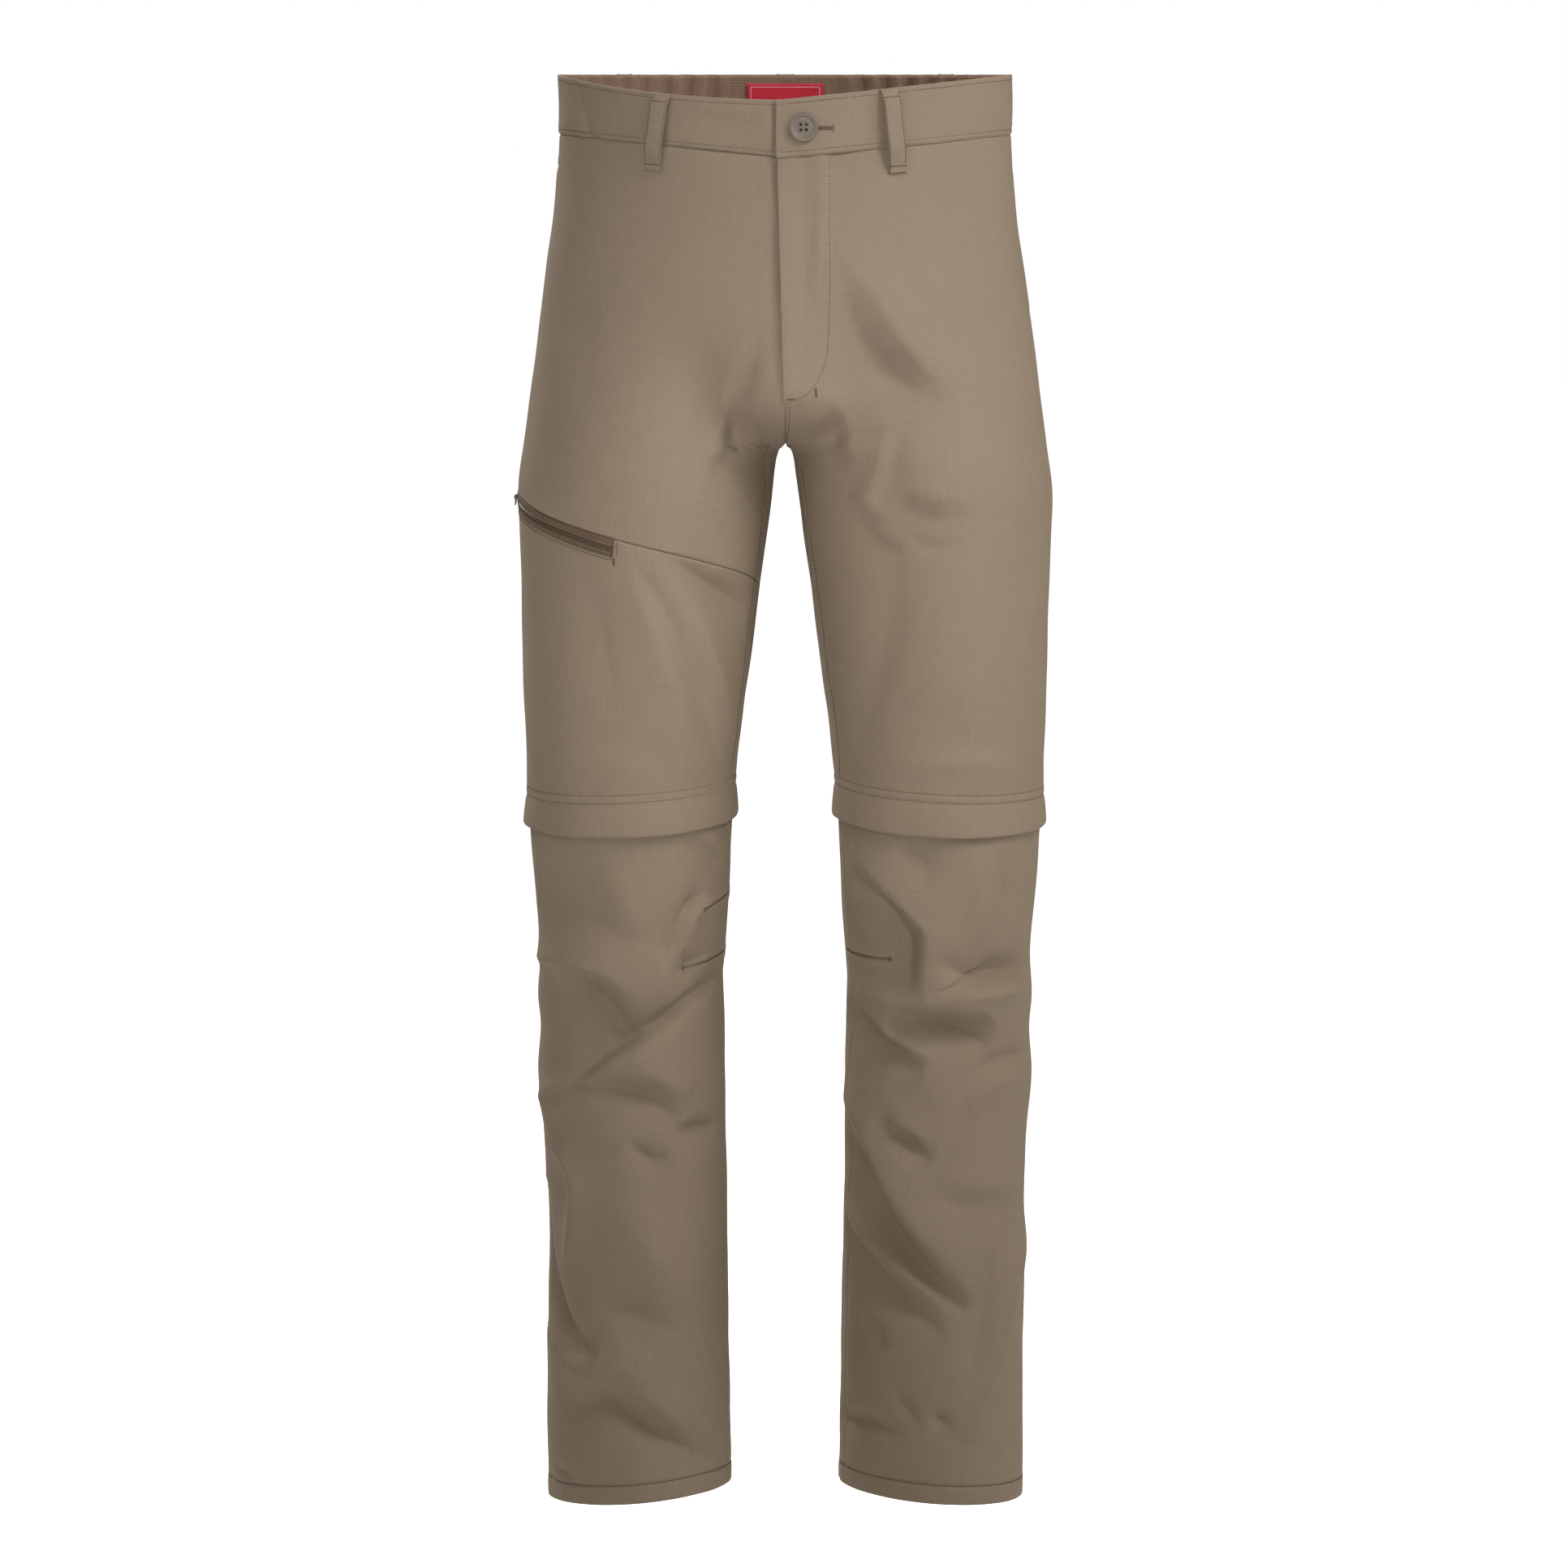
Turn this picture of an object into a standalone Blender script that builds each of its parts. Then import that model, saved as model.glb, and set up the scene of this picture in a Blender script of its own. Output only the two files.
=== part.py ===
"""Convertible zip-off trousers, filled out as when worn, hollow and open at waist and hems.

Frame: +X to the wearer's left, -Y to the front, +Z up. The origin is the centre of the
waist, half way down the waistband. Lengths in this script are millimetres; the meshes are
written in metres. "Down" is the drop below the waist's top edge at the side. "Round" runs
along one half of the garment: 0 at the centre front or inseam, 1 at the outer side and 2 at
the centre back or inseam again. "Turn" is the same in degrees: -90 inner, 0 front, 90 outer,
180 back, 270 inner.
"""
import math

import bmesh
import bpy
import numpy as np
from mathutils import Matrix, Vector

MM = 0.001

# Driving sizes
WAIST_TOP = 20.0
BAND_HEIGHT = 43.0
FRONT_TOP_DIP = 18.0
FRONT_SEAM_DIP = 16.0
CROTCH = 271.0
HEM = 1049.5
HEM_SLANT = 5.5
KNEE_STITCH = 525.0
CLOTH = 1.2
BAND_CLOTH = 1.8
SEAM_GAP = 0.3
HALF_GAP = SEAM_GAP / 2
SIDE_SEAM = 1.06
ROUND_GAP = 0.0012

# Half of the body above the crotch and the thigh: out is the side seam's distance from the
# middle, side is the y of the side seam, front and back are the y of the foremost and rearmost line
THIGH_SECTIONS = (
    # down, out, side, front, back
    (-6, 165.6, 3, -98, 104),
    (50, 165.7, 3, -104, 110),
    (103, 170.1, 4, -110, 122),
    (139, 175.0, 5, -113, 130),
    (175, 179.9, 6, -115, 136),
    (210, 184.8, 8, -116, 140),
    (246, 189.7, 9, -113, 134),
    (271, 192.7, 9, -108, 124),
    (300, 196.2, 8, -102, 112),
    (336, 195.6, 6, -98, 103),
    (372, 194.9, 4, -95, 97),
    (462, 192.8, 0, -89, 85),
    (516, 191.2, -3, -86, 79),
    (560, 190.4, -4, -84, 76),
)

SHIN_SECTIONS = (
    # down, out, side, front, back
    (536, 189.8, -4, -82, 74),
    (571, 187.4, -4, -79, 72),
    (607, 184.2, -3, -76, 71),
    (644, 181.2, -2, -73, 71),
    (680, 183.0, -1, -72, 72),
    (699, 181.1, 0, -71, 73),
    (735, 182.9, 1, -70, 74),
    (772, 180.2, 2, -69, 75),
    (808, 178.9, 3, -68, 75),
    (882, 178.3, 3, -67, 74),
    (955, 177.7, 3, -66, 72),
    (1060, 176.9, 3, -66, 72),
)

THIGH_INSEAM = (
    # down, inner
    (0, HALF_GAP),
    (CROTCH, HALF_GAP),
    (272.4, 3.0),
    (275.3, 5.0),
    (282, 6.9),
    (300, 9.3),
    (336, 13.8),
    (372, 18.6),
    (408, 23.1),
    (462, 30.3),
    (498, 34.5),
    (516, 36.4),
    (560, 38.4),
)

SHIN_INSEAM = (
    # down, inner
    (536, 38.6),
    (571, 40.3),
    (607, 42.4),
    (644, 44.9),
    (662, 46.1),
    (735, 45.0),
    (808, 43.8),
    (882, 42.7),
    (955, 41.5),
    (1060, 40.7),
)

# Heights over which the two legs become one body: along the crotch seam, and away from it
FRONT_RISE_CURVE = 48.0
BACK_RISE_CURVE = 105.0
FRONT_BLEND = 165.0
BACK_BLEND = 215.0
BLEND_BELOW_CROTCH = 45.0

# Large folds: side is -1 for the wearer's right, hollow says on which hand of the path the
# trough lies, and the path is a row of (turn, down) points
FOLDS = (
    # side, ridge, trough, soft, sharp, hollow, path
    (-1, 3.5, 5.0, 22, 9, -1, ((95, 640), (37, 649), (4, 667), (-16, 690))),
    (-1, 5.0, 7.0, 24, 8, -1, ((80, 752), (33, 722), (14, 709), (-5, 694), (-25, 680), (-58, 662))),
    (-1, 2.0, 4.5, 20, 10, -1, ((50, 736), (11, 739), (-7, 746), (-30, 766))),
    (-1, 3.0, 5.0, 16, 10, 1, ((75, 770), (50, 780), (38, 799), (33, 831), (38, 870))),
    (-1, 1.5, 5.5, 18, 11, 1, ((84, 820), (72, 870), (54, 909), (36, 932), (10, 945))),
    (-1, 2.5, 4.0, 22, 10, -1, ((28, 962), (-1, 981), (-20, 993), (-52, 1021))),
    (-1, 2.0, 3.5, 20, 12, -1, ((80, 592), (34, 601), (12, 622), (6, 645))),
    (-1, 2.5, 3.0, 16, 12, 1, ((-86, 150), (-78, 205), (-66, 262), (-40, 309), (-34, 350))),
    (-1, 2.0, 3.0, 20, 12, 1, ((8, 347), (3, 384), (-20, 432), (-30, 490))),
    (-1, 2.0, 3.0, 18, 11, 1, ((-12, 352), (-38, 380), (-50, 420), (-76, 478))),
    (1, 6.0, 6.5, 18, 9, 1, ((-58, 548), (-48, 580), (-30, 599), (-15, 620), (-11, 645), (-12, 676))),
    (1, 4.5, 6.5, 16, 9, 1, ((-60, 670), (-9, 678), (27, 684), (36, 692), (50, 716))),
    (1, 1.5, 5.0, 18, 12, 1, ((0, 664), (30, 656), (95, 650))),
    (1, 1.5, 5.0, 14, 9, 1, ((-104, 655), (-62, 684), (-38, 702), (-8, 728))),
    (1, 6.5, 7.0, 22, 10, 1, ((-100, 730), (-48, 763), (-30, 800), (-12, 838), (6, 872), (28, 912))),
    (1, 1.5, 4.5, 16, 10, 1, ((-92, 800), (-62, 838), (-38, 868), (2, 912))),
    (1, 2.5, 3.0, 14, 10, -1, ((86, 850), (58, 890), (44, 925), (32, 980), (20, 1030))),
    (1, 2.0, 2.0, 14, 10, 1, ((95, 712), (45, 717), (24, 728), (4, 748))),
    (1, 4.0, 6.0, 16, 10, 1, ((-70, 156), (-55, 182), (-39, 202), (-23, 222), (-2, 252))),
    (1, 3.0, 3.0, 14, 10, -1, ((-80, 237), (-68, 240), (-58, 256), (-42, 285), (-44, 330))),
    (1, 2.5, 4.5, 26, 18, 1, ((0, 262), (-6, 325), (-14, 379), (-34, 440), (-48, 500))),
    (-1, 3.0, 3.5, 20, 12, 1, ((130, 300), (165, 330), (205, 350), (250, 352))),
    (1, 3.0, 3.5, 20, 12, 1, ((135, 306), (170, 328), (210, 346), (252, 356))),
    (-1, 3.5, 5.0, 20, 11, 1, ((110, 610), (150, 628), (200, 634), (250, 622))),
    (1, 3.5, 5.0, 20, 11, 1, ((112, 590), (150, 616), (196, 640), (250, 660))),
    (-1, 3.0, 4.5, 20, 11, 1, ((118, 706), (160, 716), (205, 742), (245, 772))),
    (1, 3.0, 4.5, 20, 11, -1, ((116, 760), (160, 742), (205, 716), (245, 700))),
    (-1, 3.0, 4.0, 22, 12, 1, ((125, 860), (160, 890), (205, 930), (235, 990))),
    (1, 3.0, 4.0, 22, 12, -1, ((235, 850), (200, 880), (165, 925), (130, 985))),
)

# Pocket seam across the wearer's right thigh, with the zip in its outer part
POCKET_DOWN = 339.0
POCKET_SLOPE = -0.40
POCKET_ZIP_TURN = 12.2
POCKET_ZIP_HEIGHT = 14.0

# Slider of the pocket zip, tipped a little so that its tab lies against the cloth
SLIDER_BASE = 1.1
SLIDER_TILT = 0.025
TAB_AXIS_HEIGHT = SLIDER_BASE + 0.85

# Colours as sRGB 0 to 1
TAUPE = (0.545, 0.486, 0.420)
DARK_BROWN = (0.345, 0.282, 0.224)
FACING_BROWN = (0.490, 0.412, 0.357)
BUTTON_GREY = (0.541, 0.506, 0.455)
LABEL_RED = (0.729, 0.224, 0.275)
METAL_GREY = (0.42, 0.38, 0.33)


def clear_scene():
    for thing in list(bpy.data.objects):
        bpy.data.objects.remove(thing, do_unlink=True)


def linear(colour):
    return tuple(c / 12.92 if c <= 0.04045 else ((c + 0.055) / 1.055) ** 2.4 for c in colour)


def finish(name, colour, roughness=0.8, metallic=0.0):
    material = bpy.data.materials.new(name)
    material.use_nodes = True
    shader = material.node_tree.nodes["Principled BSDF"]
    shader.inputs["Base Color"].default_value = (*linear(colour), 1.0)
    shader.inputs["Roughness"].default_value = roughness
    shader.inputs["Metallic"].default_value = metallic
    return material


def smooth(t):
    t = np.clip(t, 0.0, 1.0)
    return t * t * (3.0 - 2.0 * t)


def along(table, column, down):
    """Smooth value of one column of a table at each drop."""
    rows = np.array(table, dtype=float)
    levels, values = rows[:, 0], rows[:, column]
    slopes = np.gradient(values, levels)
    at = np.clip(np.searchsorted(levels, down) - 1, 0, len(levels) - 2)
    step = levels[at + 1] - levels[at]
    t = np.clip((down - levels[at]) / step, 0.0, 1.0)
    rise = values[at + 1] - values[at]
    a = slopes[at] * step - rise
    b = rise - slopes[at + 1] * step
    return values[at] + t * rise + t * (1.0 - t) * ((1.0 - t) * a + t * b)


def turn_of(around):
    return 180.0 * around - 90.0


def round_of(turn):
    return (turn + 90.0) / 180.0


def waist_angle_sine(around):
    return np.sin(np.pi / 2 * np.where(around <= 1.0, around, 1.0))


def band_top(side, around):
    """Top edge of the waistband: straight slopes on the left, a fuller curve on the right."""
    sine = waist_angle_sine(around)
    if side > 0:
        return FRONT_TOP_DIP * (1.0 - sine)
    return FRONT_TOP_DIP * np.clip(1.0 - sine * sine, 0.0, 1.0) ** 0.85


def band_seam(side, around):
    return BAND_HEIGHT + FRONT_SEAM_DIP * (1.0 - waist_angle_sine(around))


def knee_stitch(around):
    turn = np.radians(turn_of(around))
    return KNEE_STITCH + 4.0 * np.sin(turn) + 4.0 * np.clip(np.cos(turn), 0.0, 1.0)


def knee_edge(around):
    """Lower edge of the thigh panels, under the knee flap."""
    return knee_stitch(around) + 8.0


def flap_edge(around):
    turn = np.radians(turn_of(around))
    return KNEE_STITCH + 21.0 + 3.0 * np.sin(turn) + 7.0 * np.clip(np.cos(turn), 0.0, 1.0)


def shin_top(around):
    return flap_edge(around) - 5.0


def hem_edge(around):
    return HEM + HEM_SLANT * np.sin(np.radians(turn_of(around)))


def pocket_seam(around):
    return POCKET_DOWN + POCKET_SLOPE * turn_of(around)


def hip_share(is_front, way, down):
    """Share of the body's section against the leg's: quick beside the crotch seam, gentle beyond."""
    rise = np.where(is_front, FRONT_RISE_CURVE, BACK_RISE_CURVE)
    climb = np.clip((CROTCH - down) / rise, 0.0, 1.0)
    at_seam = np.sqrt(1.0 - (1.0 - climb) ** 2)
    height = np.where(is_front, FRONT_BLEND, BACK_BLEND)
    beyond = smooth((CROTCH + BLEND_BELOW_CROTCH - down) / height)
    return at_seam + (beyond - at_seam) * smooth(way / 0.36)


def form(around, down, lower):
    """Point of the smooth outer form of the +X half, without its folds."""
    sections = SHIN_SECTIONS if lower else THIGH_SECTIONS
    inseam = SHIN_INSEAM if lower else THIGH_INSEAM
    out = along(sections, 1, down)
    side = along(sections, 2, down)
    front = along(sections, 3, down)
    back = along(sections, 4, down)
    inner = np.interp(down, [row[0] for row in inseam], [row[1] for row in inseam])
    is_front = around <= 1.0
    way = np.where(is_front, around, 2.0 - around)
    depth = np.where(is_front, side - front, back - side)
    hip = hip_share(is_front, way, down)
    leg_angle = np.pi * (way - 0.5)
    hip_angle = np.pi / 2 * way
    leg_x = (out + inner) / 2 + (out - inner) / 2 * np.sin(leg_angle)
    hip_x = inner + (out - inner) * np.sin(hip_angle)
    x = (1.0 - hip) * leg_x + hip * hip_x
    reach = depth * ((1.0 - hip) * np.cos(leg_angle) + hip * np.cos(hip_angle))
    y = side + np.where(is_front, -reach, reach)
    return np.stack([x, y, WAIST_TOP - down], axis=-1)


def unit(vectors):
    length = np.linalg.norm(vectors, axis=-1, keepdims=True)
    return vectors / np.maximum(length, 1e-9)


def outward(surface, around, down):
    """Unit normal of a surface function, from small steps along and down it."""
    step_round, step_down = 0.004, 0.8
    fall = surface(around, down + step_down) - surface(around, down - step_down)
    run = surface(around + step_round, down) - surface(around - step_round, down)
    return unit(np.cross(fall, run))


def crease_height(distance, ridge, trough, soft, sharp):
    """Height across a crease: a crest, steep on its hollow side, and the trough beside it."""
    width = np.where(distance < 0.0, soft, sharp)
    crest = ridge * np.exp(-((distance / width) ** 2))
    return crest - trough * np.exp(-(((distance - 1.7 * sharp) / (1.1 * sharp)) ** 2))


def fold_height(side, around, down):
    """Sum of the large folds of one half at each point."""
    height = np.zeros(np.broadcast(around, down).shape)
    radius = 0.5 * (along(THIGH_SECTIONS, 1, np.minimum(down, 540)) - np.clip((down - CROTCH) * 0.16, 0, 40))
    for fold_side, ridge, trough, soft, sharp, hollow, path in FOLDS:
        if fold_side != side:
            continue
        for wrap in (0.0, -360.0):
            arc = radius * np.radians(turn_of(around) + wrap)
            height = height + path_height(arc, down, radius, ridge, trough, soft, sharp, hollow, path)
    return height


def path_height(arc, down, radius, ridge, trough, soft, sharp, hollow, path):
    """Height of one crease at each point, from its distance to the nearest stretch of the path."""
    nearest = np.full(arc.shape, 1e9)
    signed = np.zeros(arc.shape)
    place = np.zeros(arc.shape)
    lengths = [math.hypot(math.radians(b[0] - a[0]) * 80.0, b[1] - a[1]) for a, b in zip(path, path[1:])]
    start = 0.0
    for (a, b), length in zip(zip(path, path[1:]), lengths):
        ax, bx = radius * math.radians(a[0]), radius * math.radians(b[0])
        dx, dy = bx - ax, b[1] - a[1]
        square = dx * dx + dy * dy
        raw = ((arc - ax) * dx + (down - a[1]) * dy) / square
        t = np.clip(raw, 0.0, 1.0)
        away_x, away_y = arc - ax - t * dx, down - a[1] - t * dy
        reach = np.hypot(away_x, away_y)
        hand = hollow * (away_y * dx - away_x * dy) / np.sqrt(square)
        closer = reach < nearest
        signed = np.where(closer, np.where(hand < 0.0, -reach, reach), signed)
        place = np.where(closer, start + t * length, place)
        nearest = np.minimum(nearest, reach)
        start += length
    taper = np.sin(np.pi * np.clip(place / start, 0.0, 1.0)) ** 0.7
    return taper * crease_height(signed, ridge, trough, soft, sharp)


def calm_at_knee(down, lower):
    """Folds die away at the knee, where the flap and the zip hold the cloth round."""
    return smooth((down - 550.0) / 18.0) if lower else 1.0 - smooth((down - 488.0) / 34.0)


def calm_at_fly(around, down):
    """Folds die away beside the centre front, where the fly holds the cloth flat."""
    beside = np.where(around <= 1.0, 1.0 - smooth((around - 0.13) / 0.07), 0.0)
    return 1.0 - beside * (1.0 - smooth((down - 241.0) / 12.0))


def skin(side, around, down, lift=0.0, lower=False, folds=True):
    """Points of the cloth's outer face for the +X half, moved out by lift."""
    around, down = np.broadcast_arrays(np.asarray(around, float), np.asarray(down, float))
    normal = outward(lambda a, d: form(a, d, lower), around, down)
    height = np.zeros(around.shape)
    if folds:
        calm = calm_at_knee(down, lower) * calm_at_fly(around, down)
        height = fold_height(side, around, down) * calm
    return form(around, down, lower) + normal * (height + lift)[..., None]


def wall(side, around, down, lift, thickness, lower=False, folds=True):
    """Outer and inner grids of a cloth wall, mirrored to its side."""
    lift = np.broadcast_to(np.asarray(lift, float), np.broadcast(around, down).shape)
    outer = skin(side, around, down, lift, lower, folds)
    normal = outward(lambda a, d: skin(side, a, d, lift, lower, folds), around, down)
    inner = outer - normal * thickness
    mirror = np.array([side, 1.0, 1.0])
    return outer * mirror, inner * mirror


def add_object(name, mesh, material):
    thing = bpy.data.objects.new(name, mesh)
    bpy.context.scene.collection.objects.link(thing)
    mesh.materials.append(material)
    mesh.shade_smooth()
    mesh.set_sharp_from_angle(angle=math.radians(50))
    return thing


def wall_object(name, outer, inner, material, mirrored):
    """Closed wall between two grids of points: both faces and a rim round all four edges."""
    rows, columns = outer.shape[:2]
    count = rows * columns
    points = np.concatenate([outer.reshape(-1, 3), inner.reshape(-1, 3)]) * MM
    faces = []
    for i in range(rows - 1):
        for j in range(columns - 1):
            a = i * columns + j
            face = (a, a + columns, a + columns + 1, a + 1)
            faces.append(face)
            faces.append(tuple(count + k for k in reversed(face)))
    rim = [j for j in range(columns)]
    rim += [i * columns + columns - 1 for i in range(1, rows)]
    rim += [(rows - 1) * columns + j for j in range(columns - 2, -1, -1)]
    rim += [i * columns for i in range(rows - 2, 0, -1)]
    for a, b in zip(rim, rim[1:] + rim[:1]):
        faces.append((a, b, count + b, count + a))
    if mirrored:
        faces = [tuple(reversed(face)) for face in faces]
    mesh = bpy.data.meshes.new(name)
    mesh.from_pydata([tuple(p) for p in points], [], faces)
    mesh.validate()
    mesh.update()
    return add_object(name, mesh, material)


def panel(name, side, around, down, material, lift=0.0, thickness=CLOTH, lower=False, folds=True):
    around = np.broadcast_to(around, down.shape)
    outer, inner = wall(side, around, down, lift, thickness, lower, folds)
    return wall_object(name, outer, inner, material, side < 0)


def back_band(name, around, down, material, lift, thickness):
    """One wall across the back, from the right side round the centre to the left side."""
    around = np.broadcast_to(around, down.shape)
    left = wall(1, around, down, lift, thickness, folds=False)
    right = wall(-1, around, down, lift, thickness, folds=False)
    outer, inner = [np.concatenate([l, r[:, ::-1]], axis=1) for l, r in zip(left, right)]
    return wall_object(name, outer, inner, material, False)


def drops(levels, around, top, top_level, bottom, bottom_level):
    """Drop of each grid point: level rows that bend to the top and bottom edges near them."""
    levels = np.asarray(levels, float)[:, None]
    near_top = 1.0 - smooth((levels - top_level) / 100.0)
    near_bottom = smooth((levels - (bottom_level - 130.0)) / 130.0)
    shift = (top(around) - top_level) * near_top + (bottom(around) - bottom_level) * near_bottom
    return levels + shift


def between(upper, lower, fractions):
    f = np.asarray(fractions, float)[:, None]
    return upper * (1.0 - f) + lower * f


def rise_levels(curve, count):
    """Levels above the crotch, close together where the seam runs level there."""
    return [CROTCH - curve * (1.0 - math.cos(math.pi / 2 * k / count)) for k in range(count, 0, -1)]


def front_columns():
    return np.linspace(ROUND_GAP, SIDE_SEAM - ROUND_GAP, 18)


def back_columns():
    return np.linspace(SIDE_SEAM + ROUND_GAP, 2.0 - ROUND_GAP, 13)


def pocket_columns():
    """Columns of the right front below the pocket seam, close together at the zip's end."""
    zip_round = round_of(POCKET_ZIP_TURN)
    return np.concatenate([np.linspace(ROUND_GAP, zip_round - 0.004, 10),
                           np.linspace(zip_round + 0.002, SIDE_SEAM - ROUND_GAP, 9)])


def front_panels(cloth):
    """Left front in one piece; the right front is cut across by the pocket seam."""
    around = front_columns()
    rise = rise_levels(FRONT_RISE_CURVE, 4)
    upper = [BAND_HEIGHT + SEAM_GAP, 80, 115, 145, 170, 195] + rise + [CROTCH, 273, 277]
    thigh = [290, 310, 330, 355, 380, 410, 440, 470, 500, KNEE_STITCH - 2.0, KNEE_STITCH + 8.0]
    down = drops(upper + thigh, around, lambda a: band_seam(1, a) + SEAM_GAP, upper[0], knee_edge, thigh[-1])
    panel("front_left", 1, around, down, cloth)

    top = drops(upper, around, lambda a: band_seam(-1, a) + SEAM_GAP, upper[0], knee_edge, 700.0)
    seam = pocket_seam(around)
    rest = between(top[-1], seam, (0.5, 1.0))
    panel("front_right_upper", -1, around, np.vstack([top, rest]), cloth)

    around = pocket_columns()
    zip_part = around > round_of(POCKET_ZIP_TURN)
    start = pocket_seam(around) + SEAM_GAP + np.where(zip_part, POCKET_ZIP_HEIGHT, 0.0)
    above_stitch = knee_stitch(around) - 2.0
    body = between(start, above_stitch, np.linspace(0.0, 1.0, 9))
    down = np.vstack([body, knee_edge(around)])
    panel("front_right_lower", -1, around, down, cloth)


def back_panels(cloth):
    around = back_columns()
    rise = rise_levels(BACK_RISE_CURVE, 6)
    levels = [BAND_HEIGHT + SEAM_GAP, 85, 125] + rise
    levels += [CROTCH, 273, 277, 290, 312, 336, 365, 400, 440, 480, 506, KNEE_STITCH - 2.0, KNEE_STITCH + 8.0]
    for side, name in ((1, "back_left"), (-1, "back_right")):
        down = drops(levels, around, lambda a: band_seam(side, a) + SEAM_GAP, levels[0], knee_edge, levels[-1])
        panel(name, side, around, down, cloth)


def fly_placket(cloth):
    """Raised fly strip on the left front, from past the centre to its stitched edge."""
    fly_width, past_top, past_bottom = 34.0, 5.7, 2.0
    fly_top, fly_bottom, raise_out, placket_cloth = band_seam(1, 0.0) + SEAM_GAP, 230.0, 1.5, 1.2
    down = np.append(np.linspace(fly_top, CROTCH - FRONT_RISE_CURVE, 8), fly_bottom)[:, None]
    f = (down - fly_top) / (fly_bottom - fly_top)
    g = np.linspace(0.0, 1.0, 5)[None, :]
    inner_edge = -(past_top + (past_bottom - past_top) * f)
    outer_edge = np.where(f < 0.8, fly_width, fly_width * np.sqrt(np.clip(1.0 - ((f - 0.8) / 0.21) ** 2, 0.06, 1.0)))
    across = inner_edge + g * (outer_edge - inner_edge)
    around = 2.0 / np.pi * np.arcsin(across / along(THIGH_SECTIONS, 1, down))
    down = down + (band_seam(1, around) - band_seam(1, 0.0)) * (1.0 - f)
    panel("fly_placket", 1, around, down, cloth, lift=raise_out, thickness=placket_cloth)


def waistband(cloth, facing, label):
    """Band in three pieces; the left one runs past the centre over the right one."""
    proud, over, under_past, over_past = 0.4, 2.2, 10.0, 6.8
    half_width = along(THIGH_SECTIONS, 1, 30.0)
    past = 2.0 / np.pi * math.asin(over_past / half_width)
    under = 2.0 / np.pi * math.asin(under_past / half_width)
    rows = (0.0, 0.33, 0.67, 1.0)

    around = np.linspace(-under, SIDE_SEAM - ROUND_GAP, 15)
    hidden = np.where(around < 0.0, 1.0, 0.0)
    down = between(band_top(-1, around) + hidden, band_seam(-1, np.abs(around)) - hidden, rows)
    panel("waistband_right", -1, around, down, cloth, lift=proud, thickness=BAND_CLOTH)

    around = np.concatenate([np.linspace(-past, 0.22, 7), np.linspace(0.3, SIDE_SEAM - ROUND_GAP, 9)])
    down = between(band_top(1, around), band_seam(1, around), rows)
    lift = proud + over * (1.0 - smooth((around - 0.06) / 0.16))
    panel("waistband_left", 1, around, down, cloth, lift=lift, thickness=BAND_CLOTH)

    gathers_a_side, gather_height, points_a_gather = 12, 1.5, 4
    around = np.linspace(SIDE_SEAM + ROUND_GAP, 2.0, gathers_a_side * points_a_gather + 1)
    sweep = (around - around[0]) / (around[-1] - around[0])
    calm = smooth(sweep * 12.0) * (1.0 - smooth((sweep - 0.72) / 0.12))
    wave = gather_height * calm * np.sin(2.0 * np.pi * gathers_a_side * sweep)
    down = between(np.zeros(len(around)), band_seam(1, around), (0.0, 1.0))
    back_band("waistband_back", around, down, cloth, proud + wave, CLOTH)

    facing_lift = proud + wave - CLOTH - SEAM_GAP
    facing_top, facing_bottom = 1.0, 4.0
    down = between(np.full(len(around), facing_top), band_seam(1, around) - facing_bottom, (0.0, 1.0))
    back_band("waist_facing", around, down, facing, facing_lift, CLOTH)

    label_half, label_top, label_drop = 29.0, 8.0, 24.0
    reach = 2.0 / np.pi * math.asin(label_half / half_width)
    around = np.linspace(2.0 - reach, 2.0, 5)
    down = between(np.full(5, label_top), np.full(5, label_top + label_drop), (0.0, 1.0))
    back_band("waist_label", around, down, label, proud - 2.0 * CLOTH - 2.0 * SEAM_GAP - 0.1, 1.0)


def belt_loop(name, side, across_top, across_bottom, cloth, is_back=False, seat_top=0.8):
    """Strip sewn down at both ends, standing off the band between them for a belt."""
    loop_width, loop_cloth, stand_off, seat_bottom = 12.8, 1.4, 6.2, 0.8
    below_top, past_seam = 2.0, 18.5
    f = np.array([0.0, 0.05, 0.10, 0.16, 0.30, 0.50, 0.70, 0.84, 0.90, 0.95, 1.0])[:, None]
    g = np.linspace(-0.5, 0.5, 3)[None, :]
    half_width = along(THIGH_SECTIONS, 1, 30.0)
    middle = across_top + (across_bottom - across_top) * f
    slant = np.sqrt(1.0 - (middle / half_width) ** 2)
    lean = 1.0 / np.hypot(1.0, 0.62 * (middle / half_width) / np.maximum(slant, 0.05))
    across = middle + g * loop_width * lean
    around = 2.0 / np.pi * np.arcsin(across / half_width)
    if is_back:
        around = 2.0 - around
    top, seam = band_top(side, around), band_seam(side, around)
    down = top + below_top + f * (seam + past_seam - top - below_top)
    seat = seat_top + (seat_bottom - seat_top) * smooth((f - 0.7) / 0.2)
    gap = seat + (seat_top + stand_off - seat) * smooth(f / 0.16) * smooth((1.0 - f) / 0.16)
    outer, inner = wall(side, around, down, gap + loop_cloth + 0.0 * across, loop_cloth, folds=False)
    reverse = (side < 0) != is_back
    return wall_object(name, outer, inner, cloth, reverse)


def belt_loops(cloth):
    belt_loop("belt_loop_front_right", -1, 88.0, 94.5, cloth)
    belt_loop("belt_loop_front_left", 1, 74.0, 80.0, cloth)
    belt_loop("belt_loop_back_right", -1, 118.0, 119.0, cloth, is_back=True, seat_top=2.4)
    belt_loop("belt_loop_back_left", 1, 118.0, 119.0, cloth, is_back=True, seat_top=2.4)
    belt_loop("belt_loop_back_centre", 1, 0.0, 0.0, cloth, is_back=True)


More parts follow.
